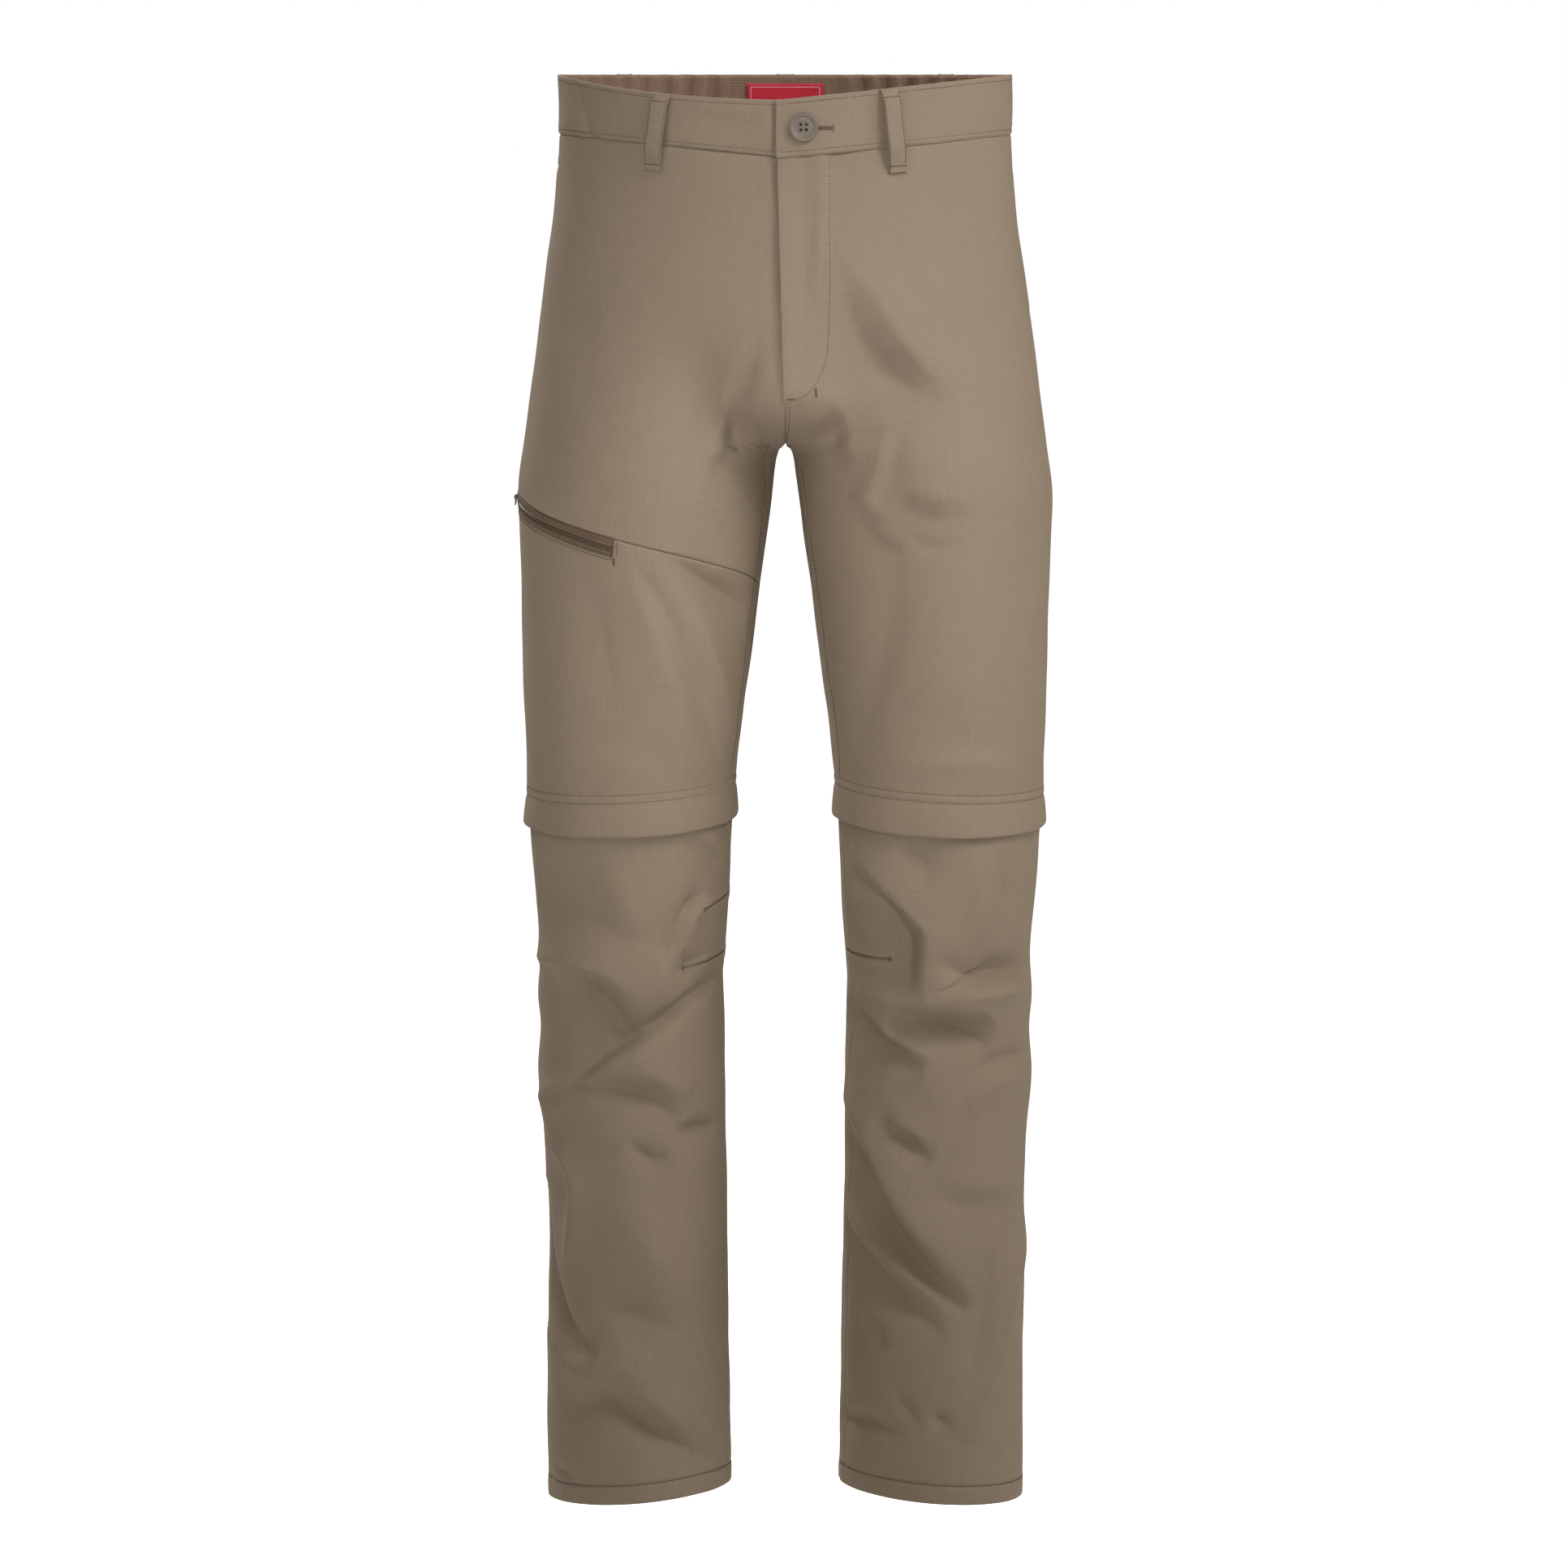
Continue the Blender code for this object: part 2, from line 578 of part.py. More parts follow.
def waist_button(plastic):
    """Dished button with a raised rim and four sewing holes."""
    across, down, radius, seat = 12.7, 38.0, 10.5, 2.9
    around = 2.0 / np.pi * math.asin(across / along(THIGH_SECTIONS, 1, down))
    centre = skin(1, around, down, seat, folds=False) * MM
    normal = outward(lambda a, d: form(a, d, False), np.float64(around), np.float64(down))
    profile = ((0.0, 0.0), (0.80, 0.0), (0.96, 0.9), (1.0, 2.2), (0.95, 3.1), (0.86, 3.2), (0.76, 2.6),
               (0.62, 2.2), (0.0, 2.0))
    shape = bmesh.new()
    ring = [shape.verts.new((r * radius * MM, 0.0, h * MM)) for r, h in profile]
    edges = [shape.edges.new(pair) for pair in zip(ring, ring[1:])]
    bmesh.ops.spin(shape, geom=ring + edges, cent=(0, 0, 0), axis=(0, 0, 1), angle=2 * math.pi, steps=24,
                   use_merge=True)
    bmesh.ops.remove_doubles(shape, verts=shape.verts, dist=1e-6)
    bmesh.ops.recalc_face_normals(shape, faces=shape.faces)
    mesh = bpy.data.meshes.new("waist_button")
    shape.to_mesh(mesh)
    shape.free()
    button = add_object("waist_button", mesh, plastic)
    holes, hole_radius, hole_reach = 4, 1.15, 2.7
    for k in range(holes):
        angle = math.pi / 4 + k * math.pi / 2
        place = (hole_reach * MM * math.cos(angle), hole_reach * MM * math.sin(angle), 0.0015)
        bpy.ops.mesh.primitive_cylinder_add(vertices=8, radius=hole_radius * MM, depth=0.008, location=place)
        drill = bpy.context.active_object
        cut = button.modifiers.new("hole", "BOOLEAN")
        cut.operation, cut.object, cut.solver = "DIFFERENCE", drill, "EXACT"
        apply_modifiers(button)
        bpy.data.objects.remove(drill, do_unlink=True)
    turn = Vector((0, 0, 1)).rotation_difference(Vector(normal.tolist())).to_matrix().to_4x4()
    button.matrix_world = Matrix.Translation(Vector(centre.tolist())) @ turn


def apply_modifiers(thing):
    bpy.ops.object.select_all(action="DESELECT")
    thing.select_set(True)
    bpy.context.view_layer.objects.active = thing
    for modifier in list(thing.modifiers):
        bpy.ops.object.modifier_apply(modifier=modifier.name)


def knee_flaps(cloth):
    """Flap over each leg zip, in a front and a back half."""
    flap_cloth, rest, bulge = 1.5, 1.8, 0.7
    f = np.array([0.0, 0.35, 0.75, 1.0])
    lift = (rest + bulge * np.sin(np.pi * f))[:, None]
    for side, hand, front in ((-1, "right", pocket_columns()), (1, "left", front_columns())):
        for around, half in ((front, "front"), (back_columns(), "back")):
            down = between(knee_stitch(around), flap_edge(around), f)
            panel(f"knee_flap_{hand}_{half}", side, around, down, cloth, lift=lift, thickness=flap_cloth,
                  folds=False)


def leg_zips(tape):
    """Zip tape ring that joins each lower leg to the thigh, hidden under the flap."""
    around = np.linspace(ROUND_GAP, 2.0 - ROUND_GAP, 26)
    ring_gap = 2.0 * SEAM_GAP
    down = between(knee_edge(around) + ring_gap, shin_top(around) - ring_gap, (0.0, 1.0))
    for side, hand in ((-1, "right"), (1, "left")):
        panel(f"leg_zip_{hand}", side, around, down, tape, lift=-1.2, thickness=CLOTH, lower=False, folds=False)


def lower_legs(cloth):
    levels = [546, 559, 574, 588, 601, 613, 625, 637, 648, 659, 669, 679, 689, 700, 712, 724, 736, 749,
              763, 778, 794, 811, 829, 848, 868, 889, 911, 934, 958, 982, 1006, 1028, HEM]
    sparse = levels[::2]
    front = np.linspace(ROUND_GAP, SIDE_SEAM - ROUND_GAP, 16)
    back = np.linspace(SIDE_SEAM + ROUND_GAP, 2.0 - ROUND_GAP, 11)
    for side, hand in ((-1, "right"), (1, "left")):
        for around, rows, half in ((front, levels, "front"), (back, sparse, "back")):
            nominal = np.array(rows, float)
            shift_top = (1.0 - smooth((nominal - 546) / 40.0))[:, None] * (shin_top(around) - 546)
            shift_hem = smooth((nominal - 950) / 99.5)[:, None] * (hem_edge(around) - HEM)
            down = nominal[:, None] + shift_top + shift_hem
            panel(f"shin_{hand}_{half}", side, around, down, cloth, lower=True)


def pocket_zip(tape, coil, metal):
    """Zip in the outer part of the pocket seam: tape, coil, slider and a hinged pull tab."""
    recess, tape_cloth, coil_width, coil_cloth = 0.2, 1.0, 4.2, 1.1
    coil_end_turn, slider_turn = 84.0, 90.5
    around = np.linspace(round_of(POCKET_ZIP_TURN) + 0.004, SIDE_SEAM - ROUND_GAP, 11)
    seam = pocket_seam(around)
    down = between(seam + SEAM_GAP, seam + POCKET_ZIP_HEIGHT, (0.0, 0.5, 1.0))
    panel("pocket_zip_tape", -1, around, down, tape, lift=-recess, thickness=tape_cloth)

    around = np.linspace(round_of(POCKET_ZIP_TURN) + 0.012, round_of(coil_end_turn), 10)
    middle = pocket_seam(around) + POCKET_ZIP_HEIGHT / 2
    down = between(middle - coil_width / 2, middle + coil_width / 2, (0.0, 0.3, 0.7, 1.0))
    crown = np.array([0.0, 0.45, 0.45, 0.0])[:, None]
    panel("pocket_zip_coil", -1, around, down, coil, lift=coil_cloth + SEAM_GAP - recess + crown,
          thickness=coil_cloth)

    frame = zip_frame(slider_turn, -recess + SEAM_GAP)
    pocket_slider(frame, metal)
    pocket_tab(frame, metal)


def zip_frame(turn, lift):
    """Place and axes of the slider: x runs forward along the zip, z out of the cloth."""
    around = round_of(turn)
    middle = pocket_seam(around) + POCKET_ZIP_HEIGHT / 2
    mirror = np.array([-1.0, 1.0, 1.0])
    step = 0.01
    centre = skin(-1, around, middle, lift) * mirror
    ahead = skin(-1, around - step, middle - POCKET_SLOPE * 180.0 * step, lift) * mirror
    behind = skin(-1, around + step, middle + POCKET_SLOPE * 180.0 * step, lift) * mirror
    run = Vector((ahead - behind).tolist()).normalized()
    normal = outward(lambda a, d: skin(-1, a, d, lift), np.float64(around), np.float64(middle)) * mirror
    out = Vector(normal.tolist())
    out = (out - run * out.dot(run)).normalized()
    out = (out + out.cross(run) * SLIDER_TILT).normalized()
    cross = out.cross(run)
    place = Vector((centre * MM).tolist())
    matrix = Matrix((run, cross, out)).transposed().to_4x4()
    return Matrix.Translation(place) @ matrix


def prism(outline, thickness, centre_y=0.0):
    """Solid from an outline in the x-z plane, with its thickness along y."""
    shape = bmesh.new()
    near = [shape.verts.new((x * MM, (centre_y - thickness / 2) * MM, z * MM)) for x, z in outline]
    face = shape.faces.new(near)
    result = bmesh.ops.extrude_face_region(shape, geom=[face])
    far = [v for v in result["geom"] if isinstance(v, bmesh.types.BMVert)]
    bmesh.ops.translate(shape, verts=far, vec=(0.0, thickness * MM, 0.0))
    bmesh.ops.recalc_face_normals(shape, faces=shape.faces)
    return shape


def pocket_slider(frame, metal):
    """Slider body with a crown that traps the tab's bar."""
    length, width, crown_width = 8.4, 6.6, 1.6
    window, bar, reach = 1.7, 0.7, 2.0
    body = prism(((-length / 2, 0.0), (length / 2 - 1.0, 0.0), (length / 2, 0.5), (length / 2 - 0.4, SLIDER_BASE),
                  (-length / 2, SLIDER_BASE)), width)
    mesh = bpy.data.meshes.new("pocket_zip_slider")
    body.to_mesh(mesh)
    body.free()
    slider = add_object("pocket_zip_slider", mesh, metal)
    low, mid, high = SLIDER_BASE - 0.3, SLIDER_BASE + window, SLIDER_BASE + window + bar
    arch = prism(((-reach - bar, low), (-reach, low), (-reach, mid), (reach, mid), (reach, low),
                  (reach + bar, low), (reach + bar, mid), (reach, high), (-reach, high), (-reach - bar, mid)),
                 crown_width)
    arch_mesh = bpy.data.meshes.new("slider_crown")
    arch.to_mesh(arch_mesh)
    arch.free()
    crown = bpy.data.objects.new("slider_crown", arch_mesh)
    bpy.context.scene.collection.objects.link(crown)
    join = slider.modifiers.new("crown", "BOOLEAN")
    join.operation, join.object, join.solver = "UNION", crown, "EXACT"
    apply_modifiers(slider)
    bpy.data.objects.remove(crown, do_unlink=True)
    slider.matrix_world = frame


def pocket_tab(frame, metal):
    """Pull tab: a plate with a slot that loops under the slider's crown, lying along the zip."""
    tab_thickness, points = 0.9, 20
    slot_start, slot_end, slot_half = 0.6, 4.6, 1.35
    tab_start, tab_end, tab_half = -0.6, 15.5, 2.6
    shape = bmesh.new()
    rings = []
    for start, end, half, corner in ((tab_start, tab_end, tab_half, 0.9), (slot_start, slot_end, slot_half, 0.25)):
        for height in (-tab_thickness / 2, tab_thickness / 2):
            ring = []
            for k in range(points):
                angle = 2 * math.pi * (k + 0.5) / points
                power = 0.35 if corner > 0.5 else 0.2
                cx, cy = math.cos(angle), math.sin(angle)
                x = (start + end) / 2 + (end - start) / 2 * math.copysign(abs(cx) ** power, cx)
                y = half * math.copysign(abs(cy) ** power, cy)
                ring.append(shape.verts.new((x * MM, y * MM, height * MM)))
            rings.append(ring)
    outer_low, outer_high, slot_low, slot_high = rings
    for a, b in ((outer_low, outer_high), (outer_high, slot_high), (slot_high, slot_low), (slot_low, outer_low)):
        for k in range(points):
            n = (k + 1) % points
            shape.faces.new((a[k], a[n], b[n], b[k]))
    bmesh.ops.recalc_face_normals(shape, faces=shape.faces)
    mesh = bpy.data.meshes.new("pocket_zip_tab")
    shape.to_mesh(mesh)
    shape.free()
    tab = add_object("pocket_zip_tab", mesh, metal)
    hinge = bpy.data.objects.new("pocket_tab_hinge", None)
    bpy.context.scene.collection.objects.link(hinge)
    hinge.matrix_world = frame @ Matrix.Translation((0.0, 0.0, TAB_AXIS_HEIGHT * MM))
    tab.parent = hinge


def main():
    clear_scene()
    cloth = finish("stretch nylon", TAUPE, 0.75)
    facing = finish("elastic facing", FACING_BROWN, 0.85)
    label = finish("woven label", LABEL_RED, 0.7)
    tape = finish("zip tape", DARK_BROWN, 0.8)
    coil = finish("zip coil", DARK_BROWN, 0.45)
    metal = finish("painted metal", METAL_GREY, 0.4, 0.8)
    plastic = finish("button plastic", BUTTON_GREY, 0.4)
    front_panels(cloth)
    back_panels(cloth)
    fly_placket(cloth)
    waistband(cloth, facing, label)
    belt_loops(cloth)
    waist_button(plastic)
    pocket_zip(tape, coil, metal)
    knee_flaps(cloth)
    leg_zips(tape)
    lower_legs(cloth)


main()
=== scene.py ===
"""Dressed model of convertible zip-off trousers, filled out as when worn and open at waist and hems.

The tables and sizes here are in millimetres and the meshes in metres. "Down" is the drop below
the waist's top edge at the side. "Around" runs along one half of the garment: 0 at the centre
front or inseam, 1 at the outer side, 2 at the centre back or inseam. "Turn" is the same in
degrees: -90 inner, 0 front, 90 outer, 180 back. Side is 1 for the wearer's left.
"""
import math

import bmesh
import bpy
import numpy as np
from mathutils import Matrix, Vector


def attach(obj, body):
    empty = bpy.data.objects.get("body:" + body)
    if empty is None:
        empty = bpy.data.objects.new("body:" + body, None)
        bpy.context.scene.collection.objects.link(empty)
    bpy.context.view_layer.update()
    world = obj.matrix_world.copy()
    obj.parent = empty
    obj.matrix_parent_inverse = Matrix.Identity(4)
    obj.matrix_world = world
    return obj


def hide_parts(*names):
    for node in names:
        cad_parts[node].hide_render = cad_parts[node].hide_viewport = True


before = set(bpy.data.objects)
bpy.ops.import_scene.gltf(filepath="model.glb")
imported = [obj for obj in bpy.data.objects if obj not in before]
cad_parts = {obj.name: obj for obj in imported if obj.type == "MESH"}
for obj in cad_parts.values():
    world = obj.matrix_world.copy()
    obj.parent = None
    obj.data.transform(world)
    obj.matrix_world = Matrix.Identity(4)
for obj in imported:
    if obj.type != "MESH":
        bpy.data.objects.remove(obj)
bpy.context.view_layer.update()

MM = 0.001

# Camera: five metres in front, level with the waist, tipped down a little
CAMERA_PLACE = (-0.0009, -5.0, 0.020)
CAMERA_TIP = 5.961
CAMERA_LENS = 155.96
CAMERA_SENSOR = 36.0

# Garment sizes
WAIST_TOP = 20.0
BAND_HEIGHT = 43.0
FRONT_TOP_DIP = 18.0
FRONT_SEAM_DIP = 16.0
CROTCH = 271.0
HEM = 1049.5
HEM_SLANT = 5.5
KNEE_STITCH = 525.0
SIDE_SEAM = 1.06
FRONT_RISE_CURVE = 48.0
BACK_RISE_CURVE = 105.0
FRONT_BLEND = 165.0
BACK_BLEND = 215.0
BLEND_BELOW_CROTCH = 45.0
POCKET_DOWN = 339.0
POCKET_SLOPE = -0.40
POCKET_ZIP_TURN = 12.2
POCKET_ZIP_HEIGHT = 14.0
UNDER_FLAP = 8.0
CLOTH = 0.6
THIN_CLOTH = 0.5
PAST_CENTRE = 6.8
FLY_TOP = 59.3
FLY_BOTTOM = 233.0
HALF_WAIST = 165.6

# Lengths of one unit of "around": along a leg panel, and across the front of the waist
ROUND_MM = 255.0
BAND_MM = 290.0

# Nominal heights of the panels, which set how many rows their grids have
THIGH_ROWS = 478.0
UPPER_FRONT_ROWS = 290.0
POCKET_ROWS = 210.0
LOWER_LEG_ROWS = 508.0
FLY_ROWS = 175.0

# Side and its name
HANDS = ((1, "left"), (-1, "right"))

# Height and radius of the studio floor, in metres
FLOOR = -1.20
FLOOR_RADIUS = 22.0

# Sewn lines: distance from their edge or seam; the knee has two
BAND_ROW = 3.4
KNEE_ROW = 7.6
HEM_ROW = 14.0
SEAT_ROW = 5.0
INSEAM_LINE = 25.5
FLY_ROW = 2.2
LOWER_KNEE_ROW = 1.6

# Extra rows and columns of the grids, in mm from the edge: at a turned edge and at sewn lines
TURN_IN = (0.8, 1.7, 2.6, 3.4, 4.2)
KNEE_GROOVES = (8.2, 8.9, 9.6, 10.3, 11.0, 14.2, 14.9, 15.6, 16.3, 17.0)
INSEAM_GROOVE = (24.1, 24.8, 25.5, 26.2, 26.9)
HEM_GROOVE = (0.5, 1.2, 12.6, 13.3, 14.0, 14.7, 15.4)

THIGH_SECTIONS = (
    # down, out, side, front, back
    (-6, 165.6, 3, -98, 104),
    (50, 165.7, 3, -104, 110),
    (103, 170.1, 4, -110, 122),
    (139, 175.0, 5, -113, 130),
    (175, 179.9, 6, -115, 136),
    (210, 184.8, 8, -116, 140),
    (246, 189.7, 9, -113, 134),
    (271, 192.7, 9, -108, 124),
    (300, 196.2, 8, -102, 112),
    (336, 195.6, 6, -98, 103),
    (372, 194.9, 4, -95, 97),
    (462, 192.8, 0, -89, 85),
    (516, 191.2, -3, -86, 79),
    (560, 190.4, -4, -84, 76),
)

SHIN_SECTIONS = (
    # down, out, side, front, back
    (536, 189.8, -4, -82, 74),
    (571, 187.4, -4, -79, 72),
    (607, 184.2, -3, -76, 71),
    (644, 181.2, -2, -73, 71),
    (680, 183.0, -1, -72, 72),
    (699, 181.1, 0, -71, 73),
    (735, 182.9, 1, -70, 74),
    (772, 180.2, 2, -69, 75),
    (808, 178.9, 3, -68, 75),
    (882, 178.3, 3, -67, 74),
    (955, 177.7, 3, -66, 72),
    (1060, 176.9, 3, -66, 72),
)

THIGH_INSEAM = (
    # down, inner
    (0, 0.0),
    (CROTCH, 0.0),
    (272.4, 3.0),
    (275.3, 5.0),
    (282, 6.9),
    (300, 9.3),
    (336, 13.8),
    (372, 18.6),
    (408, 23.1),
    (462, 30.3),
    (498, 34.5),
    (516, 36.4),
    (560, 38.4),
)

SHIN_INSEAM = (
    # down, inner
    (536, 38.6),
    (571, 40.3),
    (607, 42.4),
    (644, 44.9),
    (662, 46.1),
    (735, 45.0),
    (808, 43.8),
    (882, 42.7),
    (955, 41.5),
    (1060, 40.7),
)

# Sewn darts at the knee, inseam end first: (around, down) to (around, down)
DARTS = {
    -1: (((0.02, 601.0), (0.24, 609.0)), ((0.02, 645.0), (0.30, 652.5))),
    1: (((0.02, 644.0), (0.31, 645.5)),),
}

CREASES = (
    # side, height, width on the left hand, width on the right, path of (turn, down)
    (-1, 12.6, 10, 26, ((88, 645), (72, 647), (38, 648), (17, 653), (3, 666), (-10, 684))),
    (-1, -13.7, 22, 9, ((49, 662), (28, 665), (13, 676), (4, 693), (-2, 706))),
    (-1, 7.4, 14, 18, ((-64, 655), (-33, 671), (-13, 684), (8, 695))),
    (-1, -14.7, 14, 6, ((-89, 662), (-50, 671), (-25, 686), (-4, 701), (19, 719), (39, 740), (65, 756))),
    (-1, 11.6, 11, 26, ((-22, 695), (-4, 707), (21, 726), (42, 739), (87, 758))),
    (-1, 6.3, 12, 14, ((-15, 640), (-19, 655), (-27, 682))),
    (-1, -11.6, 22, 8, ((46, 742), (29, 739), (8, 739), (-12, 746), (-34, 767))),
    (-1, 5.2, 10, 20, ((3, 728), (-18, 733), (-39, 751))),
    (-1, -8.0, 11, 6, ((-25, 777), (-39, 772), (-66, 773))),
    (-1, -6.3, 10, 7, ((4, 781), (-7, 789), (-14, 793), (-22, 786))),
    (-1, -7.4, 26, 22, ((70, 591), (37, 603), (18, 618), (6, 634))),
    (-1, 5.2, 22, 22, ((15, 571), (4, 600), (-7, 625))),
    (-1, 9.2, 9, 12, ((78, 784), (53, 789), (42, 802), (38, 820), (43, 857), (46, 888))),
    (-1, -21.0, 14, 11, ((88, 816), (81, 870), (63, 910), (45, 929), (24, 938))),
    (-1, 8.4, 14, 24, ((87, 926), (57, 941), (29, 955), (4, 947), (-8, 935))),
    (-1, 5.2, 30, 28, ((17, 818), (-8, 860), (-33, 905))),
    (-1, -6.3, 18, 14, ((27, 905), (1, 909), (-30, 926))),
    (-1, -11.3, 20, 9, ((49, 989), (34, 976), (17, 972), (-1, 986), (-21, 1003), (-56, 1025))),
    (-1, 5.2, 12, 24, ((12, 957), (-8, 975), (-35, 998))),
    (-1, -6.3, 8, 8, ((-32, 551), (-44, 560), (-65, 578))),
    (-1, 5.2, 10, 8, ((-38, 550), (-53, 561), (-72, 571))),
    (-1, -4.2, 6, 5, ((-51, 596), (-39, 603), (-32, 615), (-27, 632), (-23, 650))),
    (-1, 4.6, 6, 7, ((-59, 602), (-44, 610), (-38, 621), (-34, 638))),
    (-1, -3.4, 5, 5, ((-35, 599), (-41, 608))),
    (-1, -3.8, 6, 5, ((-24, 649), (-31, 653), (-41, 648), (-55, 645))),
    (-1, -3.4, 5, 4, ((-32, 639), (-38, 648), (-38, 655))),
    (-1, -2.7, 4, 4, ((88, 1035), (73, 1041), (57, 1046))),
    (-1, -2.7, 4, 4, ((88, 1031), (55, 1031), (41, 1039))),
    (1, 12.6, 26, 9, ((-61, 560), (-52, 569), (-36, 586), (-19, 605), (-8, 624), (-9, 648), (-9, 670),
                      (0, 681))),
    (1, -12.6, 8, 20, ((-63, 587), (-44, 599), (-30, 614), (-20, 631), (-20, 652), (-19, 670))),
    (1, 10.5, 14, 9, ((-5, 675), (10, 670), (28, 670), (74, 668))),
    (1, -13.7, 12, 8, ((1, 641), (9, 652), (23, 657), (40, 654), (88, 656))),
    (1, 8.4, 16, 7, ((-64, 667), (-44, 674), (-17, 679), (10, 681), (28, 684), (44, 704))),
    (1, -15.8, 7, 20, ((-33, 686), (-10, 689), (16, 696), (34, 710))),
    (1, -13.7, 7, 15, ((-84, 682), (-55, 696), (-39, 707), (-24, 716), (-10, 728))),
    (1, 6.3, 9, 9, ((-56, 680), (-37, 698), (-19, 710), (-4, 720))),
    (1, -8.4, 9, 12, ((9, 742), (24, 729), (44, 720), (89, 721))),
    (1, 6.3, 12, 14, ((16, 752), (36, 736), (76, 732))),
    (1, -9.2, 6, 9, ((-40, 765), (-29, 771), (-18, 778), (-4, 794))),
    (1, 4.6, 8, 7, ((-32, 763), (-17, 770), (-5, 782))),
    (1, 13.7, 28, 9, ((-90, 748), (-57, 765), (-41, 788), (-27, 817), (-9, 852), (9, 879), (27, 900))),
    (1, -13.7, 8, 16, ((-83, 780), (-54, 801), (-37, 833), (-16, 860), (5, 886), (24, 913))),
    (1, 8.4, 10, 9, ((-75, 831), (-52, 850), (-31, 866), (-12, 886), (10, 908))),
    (1, -10.5, 8, 15, ((-77, 848), (-54, 867), (-36, 886), (-14, 902), (6, 926))),
    (1, -5.0, 6, 8, ((-53, 913), (-41, 923), (-31, 937))),
    (1, -6.7, 6, 9, ((-86, 995), (-42, 991), (-19, 1002))),
    (1, -4.2, 5, 7, ((-25, 966), (-16, 979), (-8, 992))),
    (1, -4.2, 5, 7, ((-1, 982), (12, 993))),
    (1, 7.4, 16, 16, ((93, 848), (61, 884), (49, 925), (34, 966), (22, 1006))),
    (1, -5.2, 16, 14, ((38, 862), (32, 910), (20, 957))),
    (1, -6.3, 12, 12, ((-23, 555), (-13, 568), (-4, 584))),
    (1, 5.2, 16, 16, ((14, 554), (22, 588), (28, 631))),
    (1, -4.2, 14, 14, ((36, 563), (43, 602), (43, 635))),
    (1, 4.2, 20, 20, ((3, 799), (24, 813), (81, 815))),
    (1, -4.2, 16, 16, ((-7, 817), (13, 826), (51, 831))),
    (1, 6.2, 34, 12, ((-69, 118), (-57, 141), (-42, 172), (-21, 203), (8, 233))),
    (1, -8.1, 9, 22, ((-63, 155), (-56, 179), (-42, 201), (-17, 225), (11, 249))),
    (1, -2.0, 5, 6, ((-45, 206), (-30, 215), (-18, 222))),
    (1, -1.8, 5, 6, ((-34, 200), (-20, 212), (-4, 225))),
    (1, 1.9, 6, 6, ((-20, 225), (-4, 238), (9, 245))),
    (1, 3.8, 12, 9, ((-88, 232), (-76, 230), (-60, 238), (-41, 259), (-35, 291))),
    (1, -3.8, 8, 9, ((-90, 222), (-86, 235), (-80, 250))),
    (1, -2.8, 9, 12, ((-72, 245), (-52, 262), (-43, 292))),
    (1, -5.0, 8, 15, ((-37, 314), (-32, 328), (-23, 341), (-14, 346))),
    (1, 3.8, 14, 8, ((-36, 299), (-26, 312), (-19, 320))),
    (1, -4.4, 7, 16, ((-13, 303), (-5, 315), (6, 320), (19, 313))),
    (1, 3.0, 12, 8, ((-11, 295), (2, 304), (17, 300))),
    (1, -3.5, 6, 10, ((-10, 334), (1, 341), (14, 334))),
    (1, 4.2, 12, 8, ((-23, 249), (-23, 273), (-26, 297), (-31, 317))),
    (1, -4.5, 7, 12, ((-16, 255), (-17, 279), (-21, 303), (-28, 325))),
    (1, -7.0, 24, 30, ((-9, 278), (-13, 332), (-24, 403), (-41, 464), (-60, 521))),
    (1, 3.8, 40, 34, ((19, 320), (12, 391), (-7, 462))),
    (1, 3.1, 16, 20, ((-32, 512), (-4, 501), (23, 501), (61, 513))),
    (1, -2.0, 14, 12, ((-22, 495), (9, 486), (52, 495))),
    (1, 2.5, 26, 26, ((33, 250), (43, 298), (38, 357))),
    (1, -1.9, 20, 20, ((6, 191), (38, 222), (62, 276))),
    (-1, 5.0, 12, 20, ((9, 334), (-2, 379), (-18, 438), (-33, 515))),
    (-1, -5.5, 12, 9, ((6, 348), (-8, 374), (-20, 405), (-37, 452), (-54, 501))),
    (-1, 4.8, 14, 12, ((-4, 349), (-26, 385), (-47, 435), (-73, 498))),
    (-1, -9.5, 16, 7, ((-15, 349), (-28, 361), (-44, 373), (-68, 391))),
    (-1, 2.2, 12, 12, ((-37, 352), (-50, 360), (-69, 373))),
    (-1, -3.8, 24, 16, ((30, 350), (19, 391), (12, 438), (5, 492))),
    (-1, -5.8, 12, 8, ((-84, 169), (-76, 196), (-67, 238), (-42, 274), (-31, 300))),
    (-1, 4.5, 14, 12, ((-78, 167), (-67, 202), (-51, 244), (-32, 279), (-22, 314))),
    (-1, -3.2, 10, 8, ((-86, 202), (-81, 231), (-71, 263), (-68, 300))),
    (-1, -2.0, 16, 16, ((-55, 190), (-27, 249), (-20, 308))),
    (-1, -1.8, 26, 26, ((42, 122), (21, 192), (37, 262))),
    (-1, 2.0, 22, 22, ((63, 514), (16, 502), (-40, 512))),
    (-1, -2.0, 14, 14, ((47, 494), (7, 488), (-34, 499))),
    (-1, -5.0, 10, 20, ((128, 262), (160, 292), (198, 312), (236, 310))),
    (-1, 4.0, 14, 12, ((120, 250), (150, 272), (186, 290), (222, 292))),
    (-1, -3.5, 8, 16, ((150, 330), (190, 346), (236, 338), (262, 318))),
    (1, -5.0, 10, 20, ((130, 268), (166, 296), (204, 316), (240, 308))),
    (1, 4.0, 14, 12, ((126, 252), (158, 278), (192, 296), (226, 292))),
    (1, -3.5, 8, 16, ((146, 322), (188, 342), (230, 340), (260, 322))),
    (-1, 2.5, 24, 24, ((168, 350), (172, 420), (164, 500))),
    (1, 2.5, 24, 24, ((172, 356), (166, 430), (170, 505))),
    (-1, -3.0, 16, 16, ((200, 360), (206, 420), (196, 480))),
